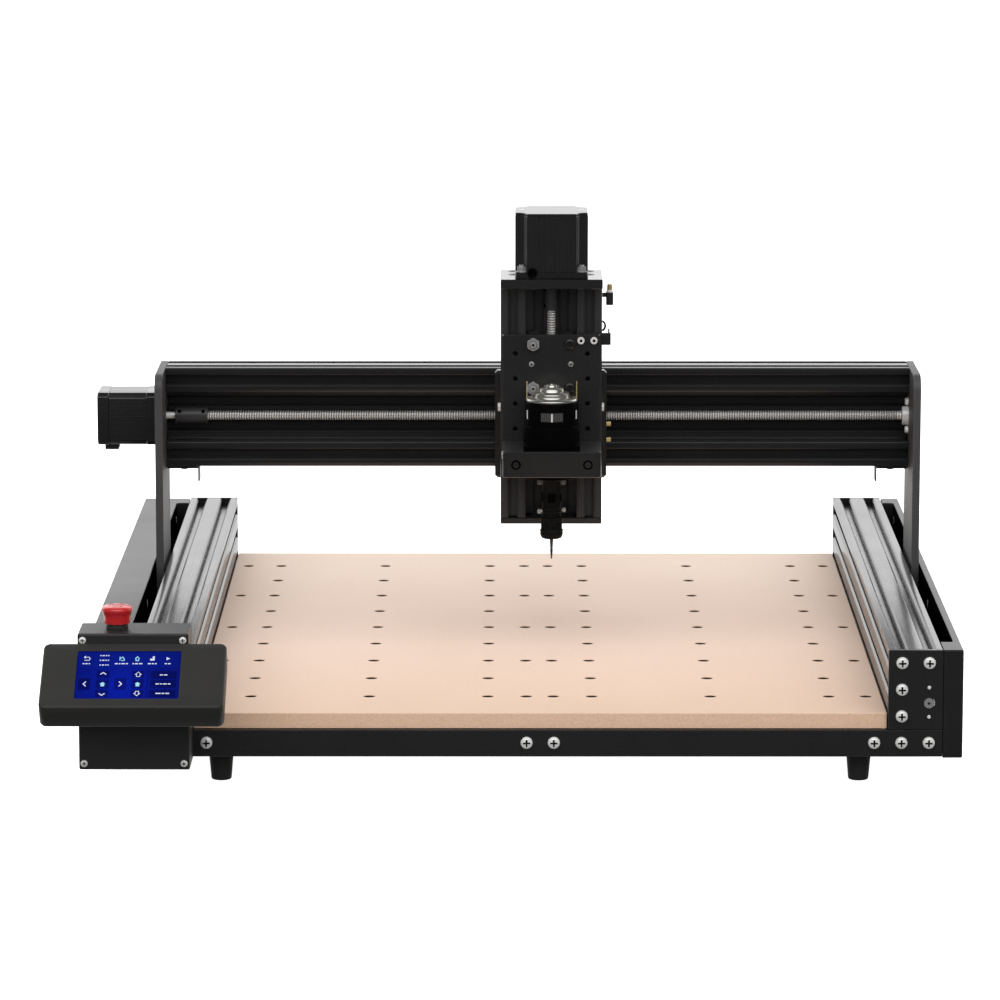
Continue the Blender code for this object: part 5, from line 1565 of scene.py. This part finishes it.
def make_spindle_rotor():
    """The collet nut with six flats, the collet's face and the cutter."""
    place = spindle_place()

    def flats(radius_flat, round_radius):
        hexed = hexagon(radius_flat)
        return lambda angle: min(hexed(angle), round_radius)
    nut = Shape().rings([(0.0, 0.1539), (0.0086, 0.1539), (0.0091, 0.1534), (0.0091, 0.1516),
        (flats(0.0083, 0.0092), 0.1511), (flats(0.0083, 0.0092), 0.1446), (0.0090, 0.1441), (0.0092, 0.1438),
        (0.0092, 0.1434), (0.0090, 0.1431), (0.0090, 0.1404), (0.0086, 0.1390), (0.0078, 0.1376),
        (0.0070, 0.1372), (0.0032, 0.1372), (0.0028, 0.1380), (0, 0.1380)], place, 60)
    nut.piece("collet_nut_turned", "spindle", NOSE_BLACK, "steel", "collet_nut")
    collet = Shape().rings(mm((0, 138.2), (2.8, 138.2), (3, 136.8), (2.4, 136.2), (0, 136.2)), place, 30)
    collet.piece("collet_face", "spindle", DARK_STEEL, "steel")
    shank, rows, flutes_top, tip = 0.0012, 44, 0.1296, 0.1204

    def flute(height):
        """Two flutes that turn once in 15 mm and narrow towards the tip."""
        def size(angle):
            wave = 0.5 + 0.5 * math.cos(2 * (angle - (height - 0.120) / 0.0075 * TURN / 2))
            taper = min(1.0, 0.30 + (height - 0.1202) / 0.0050)
            return shank * taper * (0.62 + 0.38 * wave)
        return size
    heights = [flutes_top - (flutes_top - tip) * k / rows for k in range(rows + 1)]
    cutter = mm((0, 136.8), (1.5, 136.8), (1.3, 133), (1.2, 130))
    cutter += [(flute(height), height) for height in heights] + [(0, tip)]
    fluted = Shape().rings(cutter, place, 20)
    fluted.piece("end_mill_fluted", "spindle", BLACK_STEEL, "steel", "end_mill", 60)


# ---------------------------------------------------------------- CAD nodes that stay
def finish_kept_nodes():
    plates = ["front_cross_plate", "rear_cross_plate", "x_carriage_plate", "z_bottom_plate", "switch_trigger"]
    plates += [f"end_plate_{end}_{side}" for end in ("front", "rear") for side in ("left", "right")]
    for node in plates:
        keep(node, PLATE)
    keep("z_top_plate", TOP_PLATE)
    for node in ("side_cover_right", "electronics_enclosure"):
        keep(node, COVER)
    for node in ("y_nut_left", "y_nut_right", "x_nut", "z_nut"):
        keep(node, SOFT_BLACK)
    keep("control_box", SHELL)
    keep("control_board", CIRCUIT)


# ---------------------------------------------------------------- studio
def make_world():
    """Soft light: bright behind and above, dim in front, and plain white straight to the camera."""
    world = bpy.data.worlds.new("studio")
    bpy.context.scene.world = world
    world.use_nodes = True
    tree = world.node_tree
    output, plain = tree.nodes["World Output"], tree.nodes["Background"]
    plain.inputs["Color"].default_value = (1, 1, 1, 1)
    plain.inputs["Strength"].default_value = 1.0
    place = add(tree, "TexCoord")
    parts = add(tree, "SeparateXYZ")
    tree.links.new(place.outputs["Generated"], parts.inputs["Vector"])
    along, height = parts.outputs["Y"], parts.outputs["Z"]

    def combined(operation, first, second):
        made = add(tree, "Math", operation=operation)
        tree.links.new(first, made.inputs[0])
        tree.links.new(second, made.inputs[1])
        return made.outputs["Value"]

    # reflections see a bright backdrop, a soft box high in front, and little else
    backdrop = combined("MULTIPLY", between(tree, along, 0.07, 1.85, 0.20, 0.80),
        between(tree, height, 1.0, 0.12, 0.45, 0.80))
    backdrop = combined("MULTIPLY", backdrop, between(tree, height, 0.72, 1.0, 0.11, 0.16))
    front_box = combined("MULTIPLY", between(tree, along, 1.9, 0.0, -0.62, -0.38),
        between(tree, height, 0.0, 1.0, 0.40, 0.56))
    seen = add(tree, "Background", {"Color": (1, 1, 1, 1)})
    tree.links.new(combined("ADD", backdrop, front_box), seen.inputs["Strength"])
    # everything matt is lit evenly from above
    soft = add(tree, "Background", {"Color": (1, 1, 1, 1)})
    tree.links.new(between(tree, height, 0.28, 1.42, -0.1, 0.5), soft.inputs["Strength"])
    path = add(tree, "LightPath")
    light = add(tree, "MixShader")
    tree.links.new(path.outputs["Is Glossy Ray"], light.inputs[0])
    tree.links.new(soft.outputs["Background"], light.inputs[1])
    tree.links.new(seen.outputs["Background"], light.inputs[2])
    chosen = add(tree, "MixShader")
    tree.links.new(path.outputs["Is Camera Ray"], chosen.inputs[0])
    tree.links.new(light.outputs["Shader"], chosen.inputs[1])
    tree.links.new(plain.outputs["Background"], chosen.inputs[2])
    tree.links.new(chosen.outputs["Shader"], output.inputs["Surface"])


def make_floor():
    """A pale ground that only the camera sees."""
    material, tree, shader = new_material("studio_floor")
    haze = mapped_noise(tree, 3.0, 2.0)
    tree.links.new(ramp(tree, haze, [(0.3, (0.90, 0.90, 0.90)), (0.7, (0.93, 0.93, 0.93))]),
        shader.inputs["Base Color"])
    tree.links.new(between(tree, haze, 0.75, 0.9), shader.inputs["Roughness"])
    shader.inputs["Emission Color"].default_value = (1, 1, 1, 1)
    shader.inputs["Emission Strength"].default_value = 0.96
    mesh = bpy.data.meshes.new("floor")
    mesh.from_pydata([(-30, -20, 0), (30, -20, 0), (30, 60, 0), (-30, 60, 0)], [], [(0, 1, 2, 3)])
    mesh.materials.append(material)
    floor = bpy.data.objects.new("floor", mesh)
    bpy.context.scene.collection.objects.link(floor)
    floor.visible_glossy = False
    floor.visible_diffuse = False


def make_light(name, location, target, size, power):
    data = bpy.data.lights.new(name, "AREA")
    data.shape = "RECTANGLE"
    data.size, data.size_y = size
    data.energy = power
    lamp = bpy.data.objects.new(name, data)
    bpy.context.scene.collection.objects.link(lamp)
    lamp.location = location
    lamp.rotation_euler = (Vector(target) - Vector(location)).to_track_quat("-Z", "Y").to_euler()
    lamp.visible_camera = False
    lamp.visible_glossy = False


def make_camera():
    data = bpy.data.cameras.new("camera")
    data.lens = 181.4
    data.sensor_width = 36
    data.clip_start, data.clip_end = 0.1, 100
    camera = bpy.data.objects.new("camera", data)
    bpy.context.scene.collection.objects.link(camera)
    camera.location = (-0.00046, -3.91014, 0.85691)
    camera.rotation_euler = (math.radians(79.9422), 0, math.radians(0.0726))
    bpy.context.scene.camera = camera


make_camera()
make_world()
make_floor()
make_light("overhead", location=(0, -0.3, 2.6), target=(0, 0, 0), size=(3.0, 2.6), power=9)
make_light("front_fill", location=(0, -3.2, 1.1), target=(0, 0, 0.05), size=(3.6, 1.4), power=30)
bpy.context.scene.view_settings.view_transform = "Standard"

make_extrusions()
make_bed()
make_feet()
make_front_and_rear_screws()
make_cover_wall_screws()
make_power_inlet()
make_screen_icons()
make_display()
make_control_box()
make_stop_button()
make_small_motors()
make_z_motor()
make_y_screws()
make_x_screw()
make_z_screw()
make_gantry_plates()
make_beam_fittings()
make_x_carriage_fittings()
make_wheels()
make_z_frame_fittings()
make_z_carriage()
make_clamp()
make_spindle_can()
make_spindle_vent()
make_spindle_nose()
make_spindle_rotor()
finish_kept_nodes()
